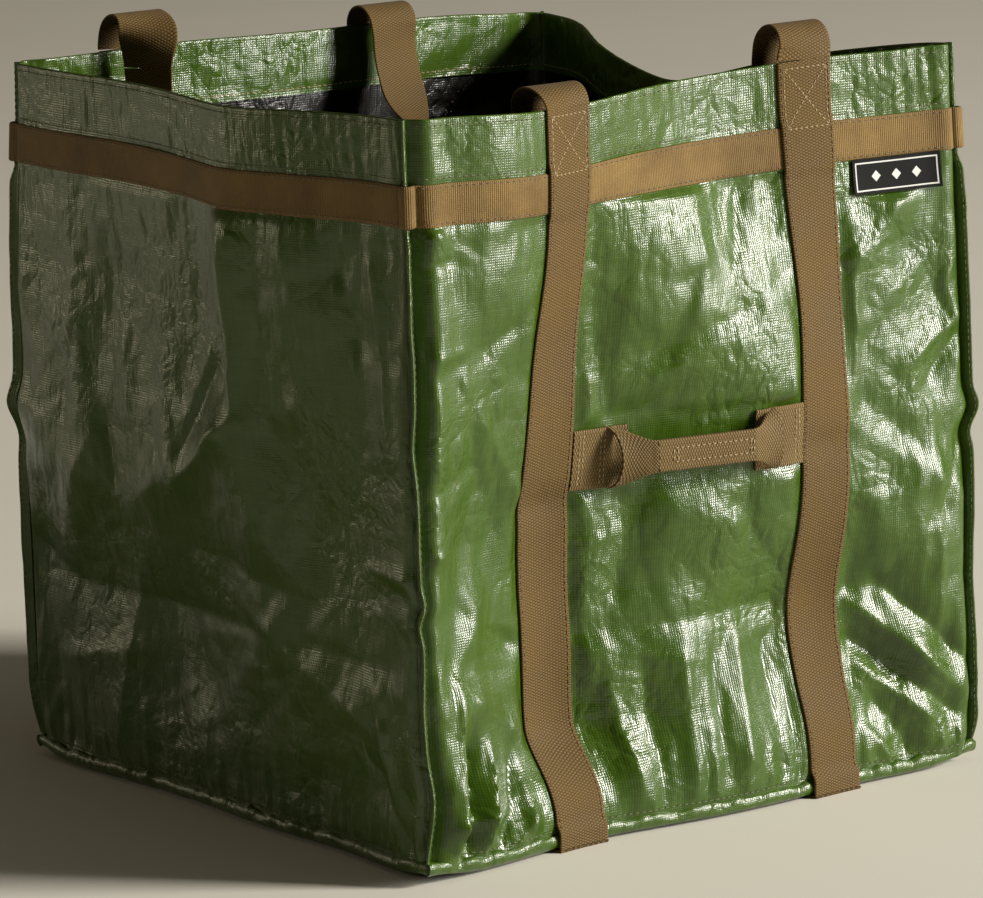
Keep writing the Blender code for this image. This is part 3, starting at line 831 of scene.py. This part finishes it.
def make_hem(wall):
    """The cloth turned in at the rim, sewn down along its lower edge."""
    rng = np.random.default_rng(SEEDS[wall] + 100)
    half = WALLS[wall][1] - 0.0022
    s = spaced(-half, half)
    z = spaced(HEIGHT - HEM_DEPTH, HEIGHT - 0.0010)
    loose = np.exp(-(z - z[0]) / 0.004)[None, :] * (0.0006 + 0.0004 * puckers(rng, s, 0.03, 0.008)[:, None])
    ripple = 0.0002 * puckers(rng, s, 0.02, 0.006)[:, None] * smooth((HEIGHT - z) / 0.012)[None, :]
    lift = -(CLOTH + 0.0004) - np.abs(loose) - np.abs(ripple)
    outer = on_wall(wall, s[:, None], z[None, :], lift)
    inner = on_wall(wall, s[:, None], z[None, :], lift - CLOTH)
    places = pattern(s + PATTERN_START[wall], z)
    hem = slab(f"{wall}_rim_hem_cloth", outer, inner, places, [FACING])
    add_piece(hem, f"{wall}_rim_hem")
    return hem


def foot_out(wall, s):
    return sag(wall, s, np.full(np.shape(s), 0.003))


def make_base():
    """The floor of the bag, which lies in soft waves."""
    rng = np.random.default_rng(5)
    count = 120
    u = np.linspace(-1, 1, count)
    x, y = np.meshgrid(u, u, indexing="ij")
    inset = 2 * CLOTH + 0.0004
    at_x, at_y = x * WIDTH / 2, y * DEPTH / 2
    half_x = WIDTH / 2 - inset + np.where(x > 0, foot_out("right", at_y), foot_out("left", -at_y))
    half_y = DEPTH / 2 - inset + np.where(y > 0, foot_out("back", -at_x), foot_out("front", at_x))
    px, py = x * half_x, y * half_y
    lift = np.zeros(x.shape)
    for _ in range(60):
        cx, cy = rng.uniform(-0.2, 0.2, 2)
        angle, reach = rng.uniform(0, math.pi), rng.uniform(0.02, 0.07)
        d = ((px - cx) * math.cos(angle) + (py - cy) * math.sin(angle)) / reach
        q = ((py - cy) * math.cos(angle) - (px - cx) * math.sin(angle)) / (2 * reach)
        lift += rng.uniform(0.2, 1.0) * 0.05 * reach * np.exp(-np.sqrt(d * d + 0.01) * 2 - q * q)
    lift *= smooth((1 - np.abs(x)) / 0.06) * smooth((1 - np.abs(y)) / 0.06)
    for across, along in ((x, half_y - np.abs(py)), (y, half_x - np.abs(px))):
        lift += smooth((np.abs(across) - 0.975) / 0.025) * (0.0022 + 0.6 * corner_rise(along, 0.0))
    top = np.stack((px, py, 0.0030 + lift), -1)
    bottom = np.stack((px, py, 0.0020 + 0.9 * lift), -1)
    places = np.stack((px + 2.5, py), -1)
    base = slab("base_panel_cloth", top, bottom, places, [LINING, GREEN])
    add_piece(base, "base_panel")
    return base


def make_corner_seam(y_name, y_side, x_name, x_side):
    """The pinched flange along a corner, folded towards the side wall, with its wavy edge."""
    rng = np.random.default_rng(60 + 2 * x_side + y_side)
    z = spaced(BASE_SEAM_TOP + 0.0004, HEIGHT)
    share = np.array([0.0, 0.25, 0.5, 0.7, 0.84, 0.93, 0.98, 1.0])
    wave = puckers(rng, z, 0.09, 0.02, 8)
    depth = (SEAM_DEPTH * (1 + 0.06 * wave) + PINCH) * (1 - 0.2 * smooth((0.03 - z) / 0.03))
    depth = depth * (1 - 0.5 * smooth((z - BAND_BOTTOM + 0.014) / 0.012))
    if x_side * y_side < 0:
        depth = depth * 0.72
    angle = math.radians(FLANGE[x_side, y_side]) + math.radians(3.5) * puckers(rng, z, 0.16, 0.05, 6)
    out = np.stack((x_side * np.cos(angle), y_side * np.sin(angle)), -1)
    side = np.stack((-out[:, 1], out[:, 0]), -1) * x_side * y_side
    root = corner_root((x_side, y_side), z)
    middle = root[:, None] + out[:, None] * (share[None, :, None] * depth[:, None, None] - 0.0004)
    curl = 0.0010 * share**2
    middle = middle - side[:, None] * curl[None, :, None]
    thick = 0.0011 * np.sqrt(1 - share**8) + 0.00008
    wall = "front" if y_side < 0 else "back"
    half = WALLS[wall][1] * (x_side if wall == "front" else -x_side)
    raised = z + rim_rise(wall, np.full(len(z), half), z) + corner_rise(0.0, z)
    level = np.broadcast_to(raised[:, None, None], (*middle.shape[:2], 1))
    outer = np.concatenate((middle + side[:, None] * thick[None, :, None], level), -1)
    inner = np.concatenate((middle - side[:, None] * thick[None, :, None], level), -1)
    places = np.stack(np.broadcast_arrays(3.0 + share[None, :] * SEAM_DEPTH, z[:, None]), -1)
    name = f"{y_name}_{x_name}_corner_seam"
    add_piece(slab(f"{name}_fold", outer, inner, places, [GREEN]), name)
    for layer, sign in ((outer, 1.0), (inner, -1.0)):
        normals = np.concatenate((sign * side, np.zeros((len(z), 1))), -1)
        sew(f"{name}_stitches", layer[2:-2, 4], normals[2:-2], GREEN_THREAD)


def make_base_seam(wall):
    """The rolled ridge along the foot of a wall."""
    rng = np.random.default_rng(80 + len(wall))
    half = WALLS[wall][1]
    reach = half - 0.0004 if wall in ("left", "right") else half + BASE_SEAM + 0.0004
    s = spaced(-reach, reach)
    share = np.array([0.0, 0.03, 0.09, 0.2, 0.36, 0.55, 0.72, 0.86, 0.95, 1.0])
    low, high = 0.0019, BASE_SEAM_TOP
    wave = puckers(rng, s, 0.05, 0.012, 10)
    near_strap = np.zeros(len(s))
    if wall in ("front", "back"):
        for x_side in (-1, 1):
            near_strap = np.maximum(near_strap, smooth(1.4 - np.abs(s - strap_s(wall, x_side)) / 0.02))
    wave = wave * (1 - near_strap)
    fine = puckers(rng, s, 0.016, 0.006, 10) * (1 - near_strap)
    z = low + share[None, :] * (high - low) * (1 + 0.16 * wave[:, None] + 0.05 * fine[:, None])
    peak = 0.5 + 0.12 * wave[:, None]
    belly = 1 - np.abs((share[None, :] - peak) / np.where(share[None, :] < peak, peak, 1 - peak)) ** 2.2
    uneven = 1 + 0.22 * wave[:, None] + 0.10 * fine[:, None]
    lift = 0.0004 + np.clip(belly, 0, 1) ** 0.7 * BASE_SEAM * uneven
    outer = on_wall(wall, s[:, None], z, lift, folds=0.0, pinch=0.0)
    inner = on_wall(wall, s[:, None], z, 0.0002, folds=0.0, pinch=0.0)
    places = pattern(s + 4.0, share * 0.012)
    add_piece(slab(f"{wall}_base_seam_roll", outer, inner, places, [GREEN]), f"{wall}_base_seam")
    line = spaced(-half + 0.012, half - 0.012, 0.004)
    for low_s, high_s in gaps_between_straps(wall, half - 0.012):
        row = line[(line > low_s) & (line < high_s)]
        sew_on_wall(f"{wall}_foot_stitches", wall, row, BASE_SEAM_TOP + 0.0022, 0.0001, GREEN_THREAD)


def gaps_between_straps(wall, reach):
    if wall in ("left", "right"):
        return [(-reach, reach)]
    edge = STRAP_WIDTH / 2 + 0.001
    first, second = sorted(strap_s(wall, x_side) for x_side in (-1, 1))
    return [(-reach, first - edge), (first + edge, second - edge), (second + edge, reach)]


def sew_rim(wall):
    """Two rows along the hem, and one on the turned-in edge inside."""
    half = WALLS[wall][1]
    for low, high in gaps_between_straps(wall, half - 0.004):
        row = spaced(low, high, 0.003)
        for z in (HEIGHT - 0.0042, BAND_TOP + 0.0034):
            sew_on_wall(f"{wall}_hem_stitches", wall, row, z, 0.0001, GREEN_THREAD)
    row = spaced(-half + 0.006, half - 0.006, 0.003)
    out = WALLS[wall][0]
    normals = np.tile((-out[0], -out[1], 0.0), (len(row), 1))
    points = on_wall(wall, row, HEIGHT - HEM_DEPTH + 0.0040, -(2 * CLOTH + 0.0007))
    sew(f"{wall}_hem_stitches", points, normals, CREAM)


# Webbing


def band_line(z, lift):
    """Points right round the bag at a height: along each wall, then out round the corner's flange."""
    line = []
    for wall in WALLS:
        half = WALLS[wall][1]
        s = spaced(-half + 0.0045, half - 0.0045, 0.003)
        line.append(on_wall(wall, s, z, lift))
        corner = wall_corner(wall, 1)
        root = corner_root(corner, z)
        lean = math.radians(FLANGE[corner])
        out = np.array((corner[0] * math.cos(lean), corner[1] * math.sin(lean)))
        side = np.array((-out[1], out[0]))
        turn = []
        ways = ((0.0030, 1.9), (0.0048, 1.6), (0.0064, 1.2), (0.0070, 0.5))
        for along_out, across in [(a, -b) for a, b in ways] + list(ways[::-1]):
            turn.append(root + out * (along_out + lift) + side * across * (0.0011 + lift))
        turn = np.array(turn)
        rise = float(rim_rise(wall, half, z))
        line.append(np.column_stack((turn, np.full(len(turn), z + rise))))
    return np.concatenate(line)


def make_band():
    shares = np.array([0.0, 0.02, 0.06, 0.25, 0.5, 0.75, 0.94, 0.98, 1.0])
    levels = BAND_BOTTOM + shares * (BAND_TOP - BAND_BOTTOM)
    thick = BAND * (0.35 + 0.65 * rounded(shares, 0.06))
    outer = np.stack([band_line(z, BAND_LIFT + t) for z, t in zip(levels, thick)], 1)
    inner = np.stack([band_line(z, BAND_LIFT) for z in levels], 1)
    places = pattern(run_length(outer[:, 4]), levels)
    band = slab("rim_band_grosgrain", outer, inner, places, [BAND_CLOTH], wrap=True)
    add_piece(band, "rim_band")
    for wall in WALLS:
        half = WALLS[wall][1]
        for low, high in gaps_between_straps(wall, half - 0.005):
            for z in (BAND_BOTTOM + 0.0018, BAND_TOP - 0.0018):
                sew_on_wall(
                    f"{wall}_band_stitches", wall, spaced(low, high, 0.003), z, BAND_LIFT + BAND, BROWN_THREAD
                )


def strap_lift(z):
    """A strap lies on the cloth, and climbs over the base seam and the band."""
    over_seam = 1 - smooth((z - BASE_SEAM_TOP) / 0.007)
    over_band = smooth((z - BAND_BOTTOM + 0.007) / 0.007) * (1 - smooth((z - BAND_TOP) / 0.007))
    return STRAP_LIFT + over_seam * (BASE_SEAM + 0.0006) + over_band * (BAND + 0.0005)


def on_strap(wall, s, z, share):
    """Points on the outside of a strap."""
    return on_wall(wall, s, z, strap_lift(z) + strap_thick(share))


def make_strap(wall, name, x_side):
    middle = strap_s(wall, x_side)
    share = edge_columns(STRAP_WIDTH)
    s = middle + (share - 0.5) * STRAP_WIDTH
    z = spaced(0.0019, HEIGHT)
    outer = on_strap(wall, s[:, None], z[None, :], share[:, None])
    inner = on_wall(wall, s[:, None], z[None, :], strap_lift(z)[None, :])
    places = pattern(s - middle, z)
    strap = slab(f"{wall}_{name}_strap_webbing", outer, inner, places, [BROWN])
    add_piece(strap, f"{wall}_{name}_strap")

    group = f"{wall}_{name}_strap_stitches"
    edge = STRAP_WIDTH / 2 - 0.0022
    lift = STRAP + strap_lift(spaced(0.014, HEIGHT - 0.002, 0.003))
    for side in (-1, 1):
        rows = spaced(0.014, HEIGHT - 0.002, 0.003)
        sew_on_wall(group, wall, np.full(len(rows), middle + side * edge), rows, lift, BROWN_THREAD)
    box_edge = STRAP_WIDTH / 2 - 0.0038
    low, high = BAND_TOP - 0.0015, HEIGHT - 0.0042
    corners = [(-box_edge, low), (box_edge, low), (box_edge, high), (-box_edge, high), (-box_edge, low)]
    lines = list(zip(corners[:-1], corners[1:])) + [(corners[0], corners[2]), (corners[1], corners[3])]
    for (s0, z0), (s1, z1) in lines:
        t = np.linspace(0, 1, 14)
        level = z0 + (z1 - z0) * t
        lift = STRAP + strap_lift(level)
        sew_on_wall(group, wall, middle + s0 + (s1 - s0) * t, level, lift, CREAM, length=0.0023)


def make_base_strap(name, x_side):
    """The strap that lies flat under the base, from the foot of the front wall to the foot of the back wall.
    """
    share = edge_columns(STRAP_WIDTH)
    u = (share - 0.5) * STRAP_WIDTH
    front_x, back_x = strap_x("front", x_side), strap_x("back", x_side)
    front = DEPTH / 2 + foot_out("front", front_x + u)
    back = DEPTH / 2 + foot_out("back", -back_x - u)
    reach = BASE_SEAM + 0.0013 + STRAP
    t = np.linspace(0, 1, 60)
    x = u[:, None] + front_x * (1 - t) + back_x * t
    y = -(front[:, None] + reach) * (1 - t) + (back[:, None] + reach) * t
    thick = strap_thick(share)
    top = np.stack(np.broadcast_arrays(x, y, STRAP), -1)
    bottom = np.stack(np.broadcast_arrays(x, y, (STRAP - thick)[:, None]), -1)
    places = np.stack(np.broadcast_arrays(u[:, None], y), -1)
    strap = slab(f"{name}_base_strap_webbing", bottom, top, places, [BROWN])
    add_piece(strap, f"{name}_base_strap")


# Carrying handles

# Of each bend over the rim: how high its top is, how far it leans along the wall, how far the
# webbing has turned edge on at its foot, and over which share of the leg below it turns the rest
BENDS = {
    ("front", "left"): (0.0125, -0.002, 0, 0.00, 0.75),
    ("front", "right"): (0.0215, 0.003, 0, 0.00, 0.80),
    ("back", "left"): (0.0240, 0.002, 70, 0.00, 0.50),
    ("back", "right"): (0.0135, 0.000, 8, 0.35, 1.00),
}


def out_of(wall):
    return np.array((*WALLS[wall][0], 0.0))


def leg_places(wall):
    """Where each strap leaves the rim and where it comes down inside, as distances from the middle."""
    places = {}
    for name, x_side in SIDES:
        outer = WALLS[wall][2] + float(sag(wall, strap_s(wall, x_side), HEIGHT)) + STRAP_LIFT + STRAP / 2
        places[name] = (outer, outer - 2 * BEND_RADIUS)
    return places


def ribbon(name, centres, across, normals, material, along=0.0, side_bow=None):
    """Webbing along centres, with its width and its face's direction at each."""
    share = edge_columns(STRAP_WIDTH)
    u = (share - 0.5) * STRAP_WIDTH
    thick = strap_thick(share) / 2
    middle = centres[None] + across[None] * u[:, None, None]
    if side_bow is not None:
        middle = middle + side_bow
    outer = middle + normals[None] * thick[:, None, None]
    inner = middle - normals[None] * thick[:, None, None]
    return slab(name, outer, inner, pattern(u, along + run_length(centres)), [material])


def make_bend(wall, name, x_side):
    """The curl that takes a strap over the rim to the handle's leg."""
    outer, inner = leg_places(wall)[name]
    rise, lean, turned = BENDS[wall, name][:3]
    out = out_of(wall)
    round_up = min(rise, 0.0155)
    straight = rise - round_up
    foot = LEG_TOP
    k = np.linspace(0, 1, 27)
    arc_out = (outer + inner) / 2 + BEND_RADIUS * np.cos(math.pi * k)
    arc_z = HEIGHT + straight + round_up * np.sin(math.pi * k)
    up = np.linspace(HEIGHT, HEIGHT + straight, 8)[:-1] if straight > 0.002 else np.array([])
    down = np.linspace(HEIGHT + straight, foot, 12)[1:]
    line_out = np.concatenate((np.full(len(up), outer), arc_out, np.full(len(down), inner)))
    line_z = np.concatenate((up, arc_z, down))
    rim = float(rim_rise(wall, strap_s(wall, x_side), HEIGHT))
    line_z = line_z + rim * smooth((line_z - foot) / (HEIGHT - foot))
    shift = lean * np.sin(math.pi * np.clip(np.arange(len(line_z)) / (len(line_z) - 1), 0, 1)) ** 1.5
    centres = out[None] * line_out[:, None]
    centres[:, 0] += strap_x(wall, x_side) + shift
    centres[:, 2] = line_z
    tangents = np.gradient(centres, axis=0)
    top = len(up) + 14
    turn = math.radians(turned) * smooth((np.arange(len(centres)) - top) / (len(centres) - 1 - top))
    across = np.outer(np.cos(turn), (1.0, 0.0, 0.0)) + x_side * np.outer(np.sin(turn), out)
    across -= tangents * (np.sum(across * tangents, axis=1) / np.sum(tangents**2, axis=1))[:, None]
    across = unit(across)
    normals = unit(np.cross(across, tangents))
    if normals[0] @ out < 0:
        normals = -normals
    share = edge_columns(STRAP_WIDTH)
    u = (share - 0.5) * STRAP_WIDTH
    s0 = strap_s(wall, x_side)
    s_sign = 1 if wall == "front" else -1
    bow = sag(wall, s0 + s_sign * u, HEIGHT) - float(sag(wall, s0, HEIGHT))
    fade = 1 - smooth(np.arange(len(centres)) / 16)
    side_bow = bow[:, None, None] * fade[None, :, None] * out[None, None]
    bend = ribbon(f"{wall}_{name}_bend_webbing", centres, across, normals, BROWN, HEIGHT, side_bow)
    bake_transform(bend)
    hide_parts(f"{wall}_{name}_bend")


def make_handle(wall):
    """A hanging loop: each leg turns a quarter as it falls, so that the loop's foot is edge on."""
    places = leg_places(wall)
    out = out_of(wall)
    foot = LEG_TOP - LEG_LENGTH
    turns = {name: BENDS[wall, name][2:] for name, _ in SIDES}
    share = np.linspace(0, 1, 26)
    arc = np.linspace(0, math.pi, 52)[1:-1]

    def turned(name):
        at_start, low, high = turns[name]
        at_start = math.radians(at_start)
        return at_start + smooth((share - low) / (high - low)) * (math.pi / 2 - at_start)

    leg_x = np.full(len(share), STRAP_PLACE)
    leg_z = LEG_TOP - share * LEG_LENGTH
    x = np.concatenate((-leg_x, -STRAP_PLACE * np.cos(arc), leg_x))
    z = np.concatenate((leg_z, foot - STRAP_PLACE * np.sin(arc), leg_z[::-1]))
    turn = np.concatenate((turned("left"), np.full(len(arc), math.pi / 2), math.pi - turned("right")[::-1]))
    fall = smooth((LEG_TOP - z) / LEAN_FALL) * HANDLE_LEAN
    to_right = (x / STRAP_PLACE + 1) / 2
    line_out = places["left"][1] * (1 - to_right) + places["right"][1] * to_right - fall
    centres = out[None] * line_out[:, None]
    centres[:, 0] += loop_middle(wall) + x
    centres[:, 2] = z
    across = np.outer(np.cos(turn), (1.0, 0.0, 0.0)) - np.outer(np.sin(turn), out)
    tangents = unit(np.gradient(centres, axis=0))
    across = unit(across - tangents * np.sum(across * tangents, axis=1)[:, None])
    normals = np.cross(across, tangents)
    handle = ribbon(f"{wall}_handle_webbing", centres, across, normals, BROWN, 0.6)
    add_piece(handle, f"{wall}_handle", f"{wall}_handle")


# Grab handles


def make_tab(wall, name, x_side):
    outer_s, inner_s = grab_end(wall, x_side)
    tucked = inner_s + math.copysign(0.012, inner_s - outer_s)  # under the mouth of the flare
    low_s, high_s = sorted((outer_s, tucked))
    share = edge_columns(STRAP_WIDTH)
    z = GRAB_HEIGHT + (share - 0.5) * STRAP_WIDTH
    s = spaced(low_s, high_s, 0.0016)
    lift = 0.0012
    thick = strap_thick(share)
    outer = on_wall(wall, s[:, None], z[None, :], lift + thick[None, :])
    inner = on_wall(wall, s[:, None], z[None, :], lift)
    places = np.stack(np.broadcast_arrays((z - GRAB_HEIGHT)[None, :], s[:, None]), -1)
    tab = slab(f"{wall}_{name}_grab_tab_webbing", outer, inner, places, [TAN])
    add_piece(tab, f"{wall}_{name}_grab_tab")
    for off in (0.004, 0.0065, 0.0185, 0.021):
        place = outer_s + math.copysign(off, inner_s - outer_s)
        rows = spaced(GRAB_HEIGHT - 0.0165, GRAB_HEIGHT + 0.0165, 0.003)
        group = f"{wall}_{name}_tab_stitches"
        sew_on_wall(group, wall, np.full(len(rows), place), rows, lift + STRAP, CREAM, **SHORT_STITCH)


def grip_ends(wall):
    low_s, high_s = sorted(grab_end(wall, x_side)[1] for x_side in (-1, 1))
    s = np.array((low_s + 0.0004, high_s - 0.0004))
    return on_wall(wall, s, GRAB_HEIGHT, GRIP_CLEARANCE, folds=0.0)


def grip_line(wall, t):
    """The grab handle's middle line at the shares t of its length."""
    first, last = grip_ends(wall)
    end = np.clip(np.minimum(t, 1 - t) / FLARE, 0, 1)
    return first + (last - first) * t[:, None] + out_of(wall) * (smooth(end) * GRIP_STANDOFF)[:, None]


def make_grip(wall):
    """The grip, folded to half its width: a flat tube, sewn round."""
    out = out_of(wall)
    first, last = grip_ends(wall)
    length = np.linalg.norm(last - first)
    t = np.linspace(FLARE, 1 - FLARE, 60)
    share = np.array([0.0, 0.02, 0.06, 0.12, 0.2, 0.35, 0.5, 0.65, 0.8, 0.88, 0.94, 0.98, 1.0])
    u = (share - 0.5) * GRIP_WIDTH
    up = np.array((0.0, 0.0, 1.0))
    swell = rounded(share, 0.14)
    ridge = 0.00025 * np.cos((share - 0.5) * 2 * math.pi * 2)
    middle = grip_line(wall, t)[None] + up * u[:, None, None]
    front = middle + out * (0.0003 + 0.0017 * swell + ridge)[:, None, None]
    rear = middle - out * (0.0003 + 0.0015 * swell)[:, None, None]
    grip = slab(f"{wall}_grab_grip_webbing", front, rear, pattern(u, t * length), [TAN])
    add_piece(grip, f"{wall}_grab_handle", f"{wall}_grab_handle")
    line = grip_line(wall, np.linspace(FLARE + 0.09, 1 - FLARE - 0.01, 40))
    normals = np.tile(out, (len(line), 1))
    for offset in (-0.0042, 0.0042):
        row = line + up * offset + out * 0.0021
        sew(f"{wall}_grip_stitches", row, normals, CREAM, **SHORT_STITCH)
    for place in (FLARE + 0.09, FLARE + 0.115, 1 - FLARE - 0.03, 1 - FLARE - 0.01):
        spot = grip_line(wall, np.array([place]))[0]
        rows = spot + up * np.linspace(-0.0042, 0.0042, 6)[:, None] + out * 0.0021
        sew(f"{wall}_grip_stitches", rows, normals[:6], CREAM, length=0.0020, gap=0.0010)


def make_flare(wall, name, x_side):
    """One flared end of the grab handle, which stands open towards its tab."""
    out, up = out_of(wall), np.array((0.0, 0.0, 1.0))
    first, last = grip_ends(wall)
    along = unit(last - first)
    length = np.linalg.norm(last - first)
    starts = x_side == (-1 if wall == "front" else 1)
    k = np.linspace(0, 1, 26)
    t = FLARE * k if starts else 1 - FLARE * k
    wide = STRAP_WIDTH + (GRIP_WIDTH - STRAP_WIDTH) * smooth(k * 1.05)
    deep = 0.0120 * (1 - smooth(k * 1.15)) + 0.0012
    share = edge_columns(STRAP_WIDTH, 15)
    v = 2 * share - 1
    arch = np.sqrt(np.clip(1 - v * v, 0, 1))
    line = grip_line(wall, t)
    back = -0.0040 * (1 - smooth(k * 1.3))
    middle = line[None] + up * (v[:, None] * wide[None] / 2)[..., None]
    middle = middle + out * (arch[:, None] * deep[None] + back[None])[..., None]
    mouth = -0.0035 * (1 - k) ** 2 * (1 - arch[:, None]) * (1 if starts else -1)
    middle = middle + along * mouth[..., None]
    half = strap_thick(share)[:, None, None] / 2
    normal = unit(out + up * (v[:, None] * 0.5)[..., None])
    places = pattern((share - 0.5) * STRAP_WIDTH, t * length)
    # The flare's inside face takes the darker brown webbing as painted shade in its open mouth; the webbing
    # itself is tan on both faces.
    pieces = (middle + normal * half, middle - normal * half, places, [TAN, BROWN])
    flare = slab(f"{wall}_{name}_grab_flare_webbing", *pieces)
    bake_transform(flare)
    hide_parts(f"{wall}_{name}_grab_flare")


def make_label():
    """The label, sewn along its top edge, which stands a little further off the wall towards its lower edge
    and at its ends.
    """
    top = BAND_BOTTOM - 0.0002
    s = np.linspace(LABEL_PLACE - LABEL_WIDTH / 2, LABEL_PLACE + LABEL_WIDTH / 2, 40)
    bend = (LABEL_HINGE, LABEL_HINGE - LABEL_BEND)
    low = np.linspace(top - LABEL_HEIGHT, bend[1], 12)[:-1]
    z = np.concatenate((low, np.linspace(bend[1], bend[0], 10), [top]))
    u, v = s - LABEL_PLACE, z - (top - LABEL_HEIGHT / 2)
    curl = np.clip(np.abs(u) / (LABEL_WIDTH / 2), 0, 1) ** 4
    loose = 0.0008 * ((top - z) / LABEL_HEIGHT) ** 2
    lift = 0.0013 + loose[None, :] * (1 + curl[:, None])
    outer = on_wall("front", s[:, None], z[None, :], lift + 0.0007, folds=0.6)
    inner = on_wall("front", s[:, None], z[None, :], lift, folds=0.6)
    label = slab("woven_label", outer, inner, pattern(u, v), [BLACK_LABEL])
    start, end = (on_wall("front", LABEL_PLACE, height, 0.0013) for height in bend)
    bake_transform(label)
    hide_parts("label")


panels = {wall: make_panel(wall) for wall in WALLS}
base = make_base()
for wall, panel in panels.items():
    hem = make_hem(wall)
    make_base_seam(wall)
    sew_rim(wall)
for y_name, y_side in (("front", -1), ("back", 1)):
    for x_name, x_side in SIDES:
        make_corner_seam(y_name, y_side, x_name, x_side)
make_band()
for name, x_side in SIDES:
    make_base_strap(name, x_side)
for wall in ("front", "back"):
    for name, x_side in SIDES:
        make_strap(wall, name, x_side)
        make_bend(wall, name, x_side)
        make_tab(wall, name, x_side)
        make_flare(wall, name, x_side)
    make_handle(wall)
    make_grip(wall)
make_label()
for group, obj in make_stitches().items():
    body = group.replace("_grip_stitches", "_grab_handle") if "grip" in group else "bag"
    add_piece(obj, None, body)


# Floor, light and camera


def make_floor():
    reach = 9.0
    corners = [(reach * x, reach * y, 0) for x, y in ((-1, -1), (1, -1), (1, 1), (-1, 1))]
    mesh = bpy.data.meshes.new("floor")
    mesh.from_pydata(corners, [], [(0, 1, 2, 3)])
    material = bpy.data.materials.new("pale_floor")
    material.use_nodes = True
    tree = material.node_tree
    shader = tree.nodes["Principled BSDF"]
    place = add(tree, "TexCoord").outputs["Object"]
    tone = mix(tree, noise(tree, place, 3.0, 4.0), (0.72, 0.69, 0.61), (0.76, 0.73, 0.65))
    tree.links.new(tone, shader.inputs["Base Color"])
    shader.inputs["Roughness"].default_value = 0.9
    mesh.materials.append(material)
    floor = bpy.data.objects.new("floor", mesh)
    bpy.context.scene.collection.objects.link(floor)


def direction(azimuth, elevation):
    """The direction at these degrees. Azimuth 0 is in front of the label's wall, 90 is on +X."""
    azimuth, elevation = math.radians(azimuth), math.radians(elevation)
    level = math.cos(elevation)
    return Vector((math.sin(azimuth) * level, -math.cos(azimuth) * level, math.sin(elevation)))


def add_light(name, azimuth, elevation, distance, size, power, colour=(1, 1, 1), aim=(0, 0, 0.22)):
    """A soft box."""
    light = bpy.data.lights.new(name, "AREA")
    light.shape = "RECTANGLE"
    light.size, light.size_y = size
    light.energy = power
    light.color = colour
    obj = bpy.data.objects.new(name, light)
    away = direction(azimuth, elevation)
    obj.location = Vector(aim) + away * distance
    obj.rotation_euler = away.to_track_quat("Z", "Y").to_euler()
    bpy.context.scene.collection.objects.link(obj)


def add_camera(azimuth, elevation, roll, distance, target, lens):
    roll = math.radians(roll)
    back = direction(azimuth, elevation)
    right = (-back).cross(Vector((0, 0, 1))).normalized()
    up = right.cross(-back)
    tilted = right * math.cos(roll) + up * math.sin(roll)
    upright = up * math.cos(roll) - right * math.sin(roll)
    data = bpy.data.cameras.new("camera")
    data.lens = lens
    data.sensor_width = 36.0
    data.clip_end = 60.0
    camera = bpy.data.objects.new("camera", data)
    turned = Matrix((tilted, upright, back)).transposed().to_4x4()
    camera.matrix_world = Matrix.Translation(Vector(target) + back * distance) @ turned
    bpy.context.scene.collection.objects.link(camera)
    bpy.context.scene.camera = camera


make_floor()
world = bpy.data.worlds.new("studio")
world.use_nodes = True
background = world.node_tree.nodes["Background"]
background.inputs["Color"].default_value = (1.0, 0.84, 0.56, 1)
background.inputs["Strength"].default_value = 0.05
bpy.context.scene.world = world
bpy.context.scene.view_settings.view_transform = "Standard"
add_light("key", 44, 25, 12, (2.6, 2.6), 1750, (1.0, 0.95, 0.86))
add_light("front_glint", 38, 8.5, 3.4, (0.8, 0.75), 72, (1.0, 0.98, 0.94))
add_light("side_sheen", -146, 8, 3.6, (1.0, 0.6), 8, (1.0, 0.88, 0.60))
add_light("overhead", 10, 78, 3.4, (2.0, 2.0), 5)
add_camera(-36.578, 10.787, -1.86, 3.498, (0.0019, 0.0, 0.2032), 200.0)
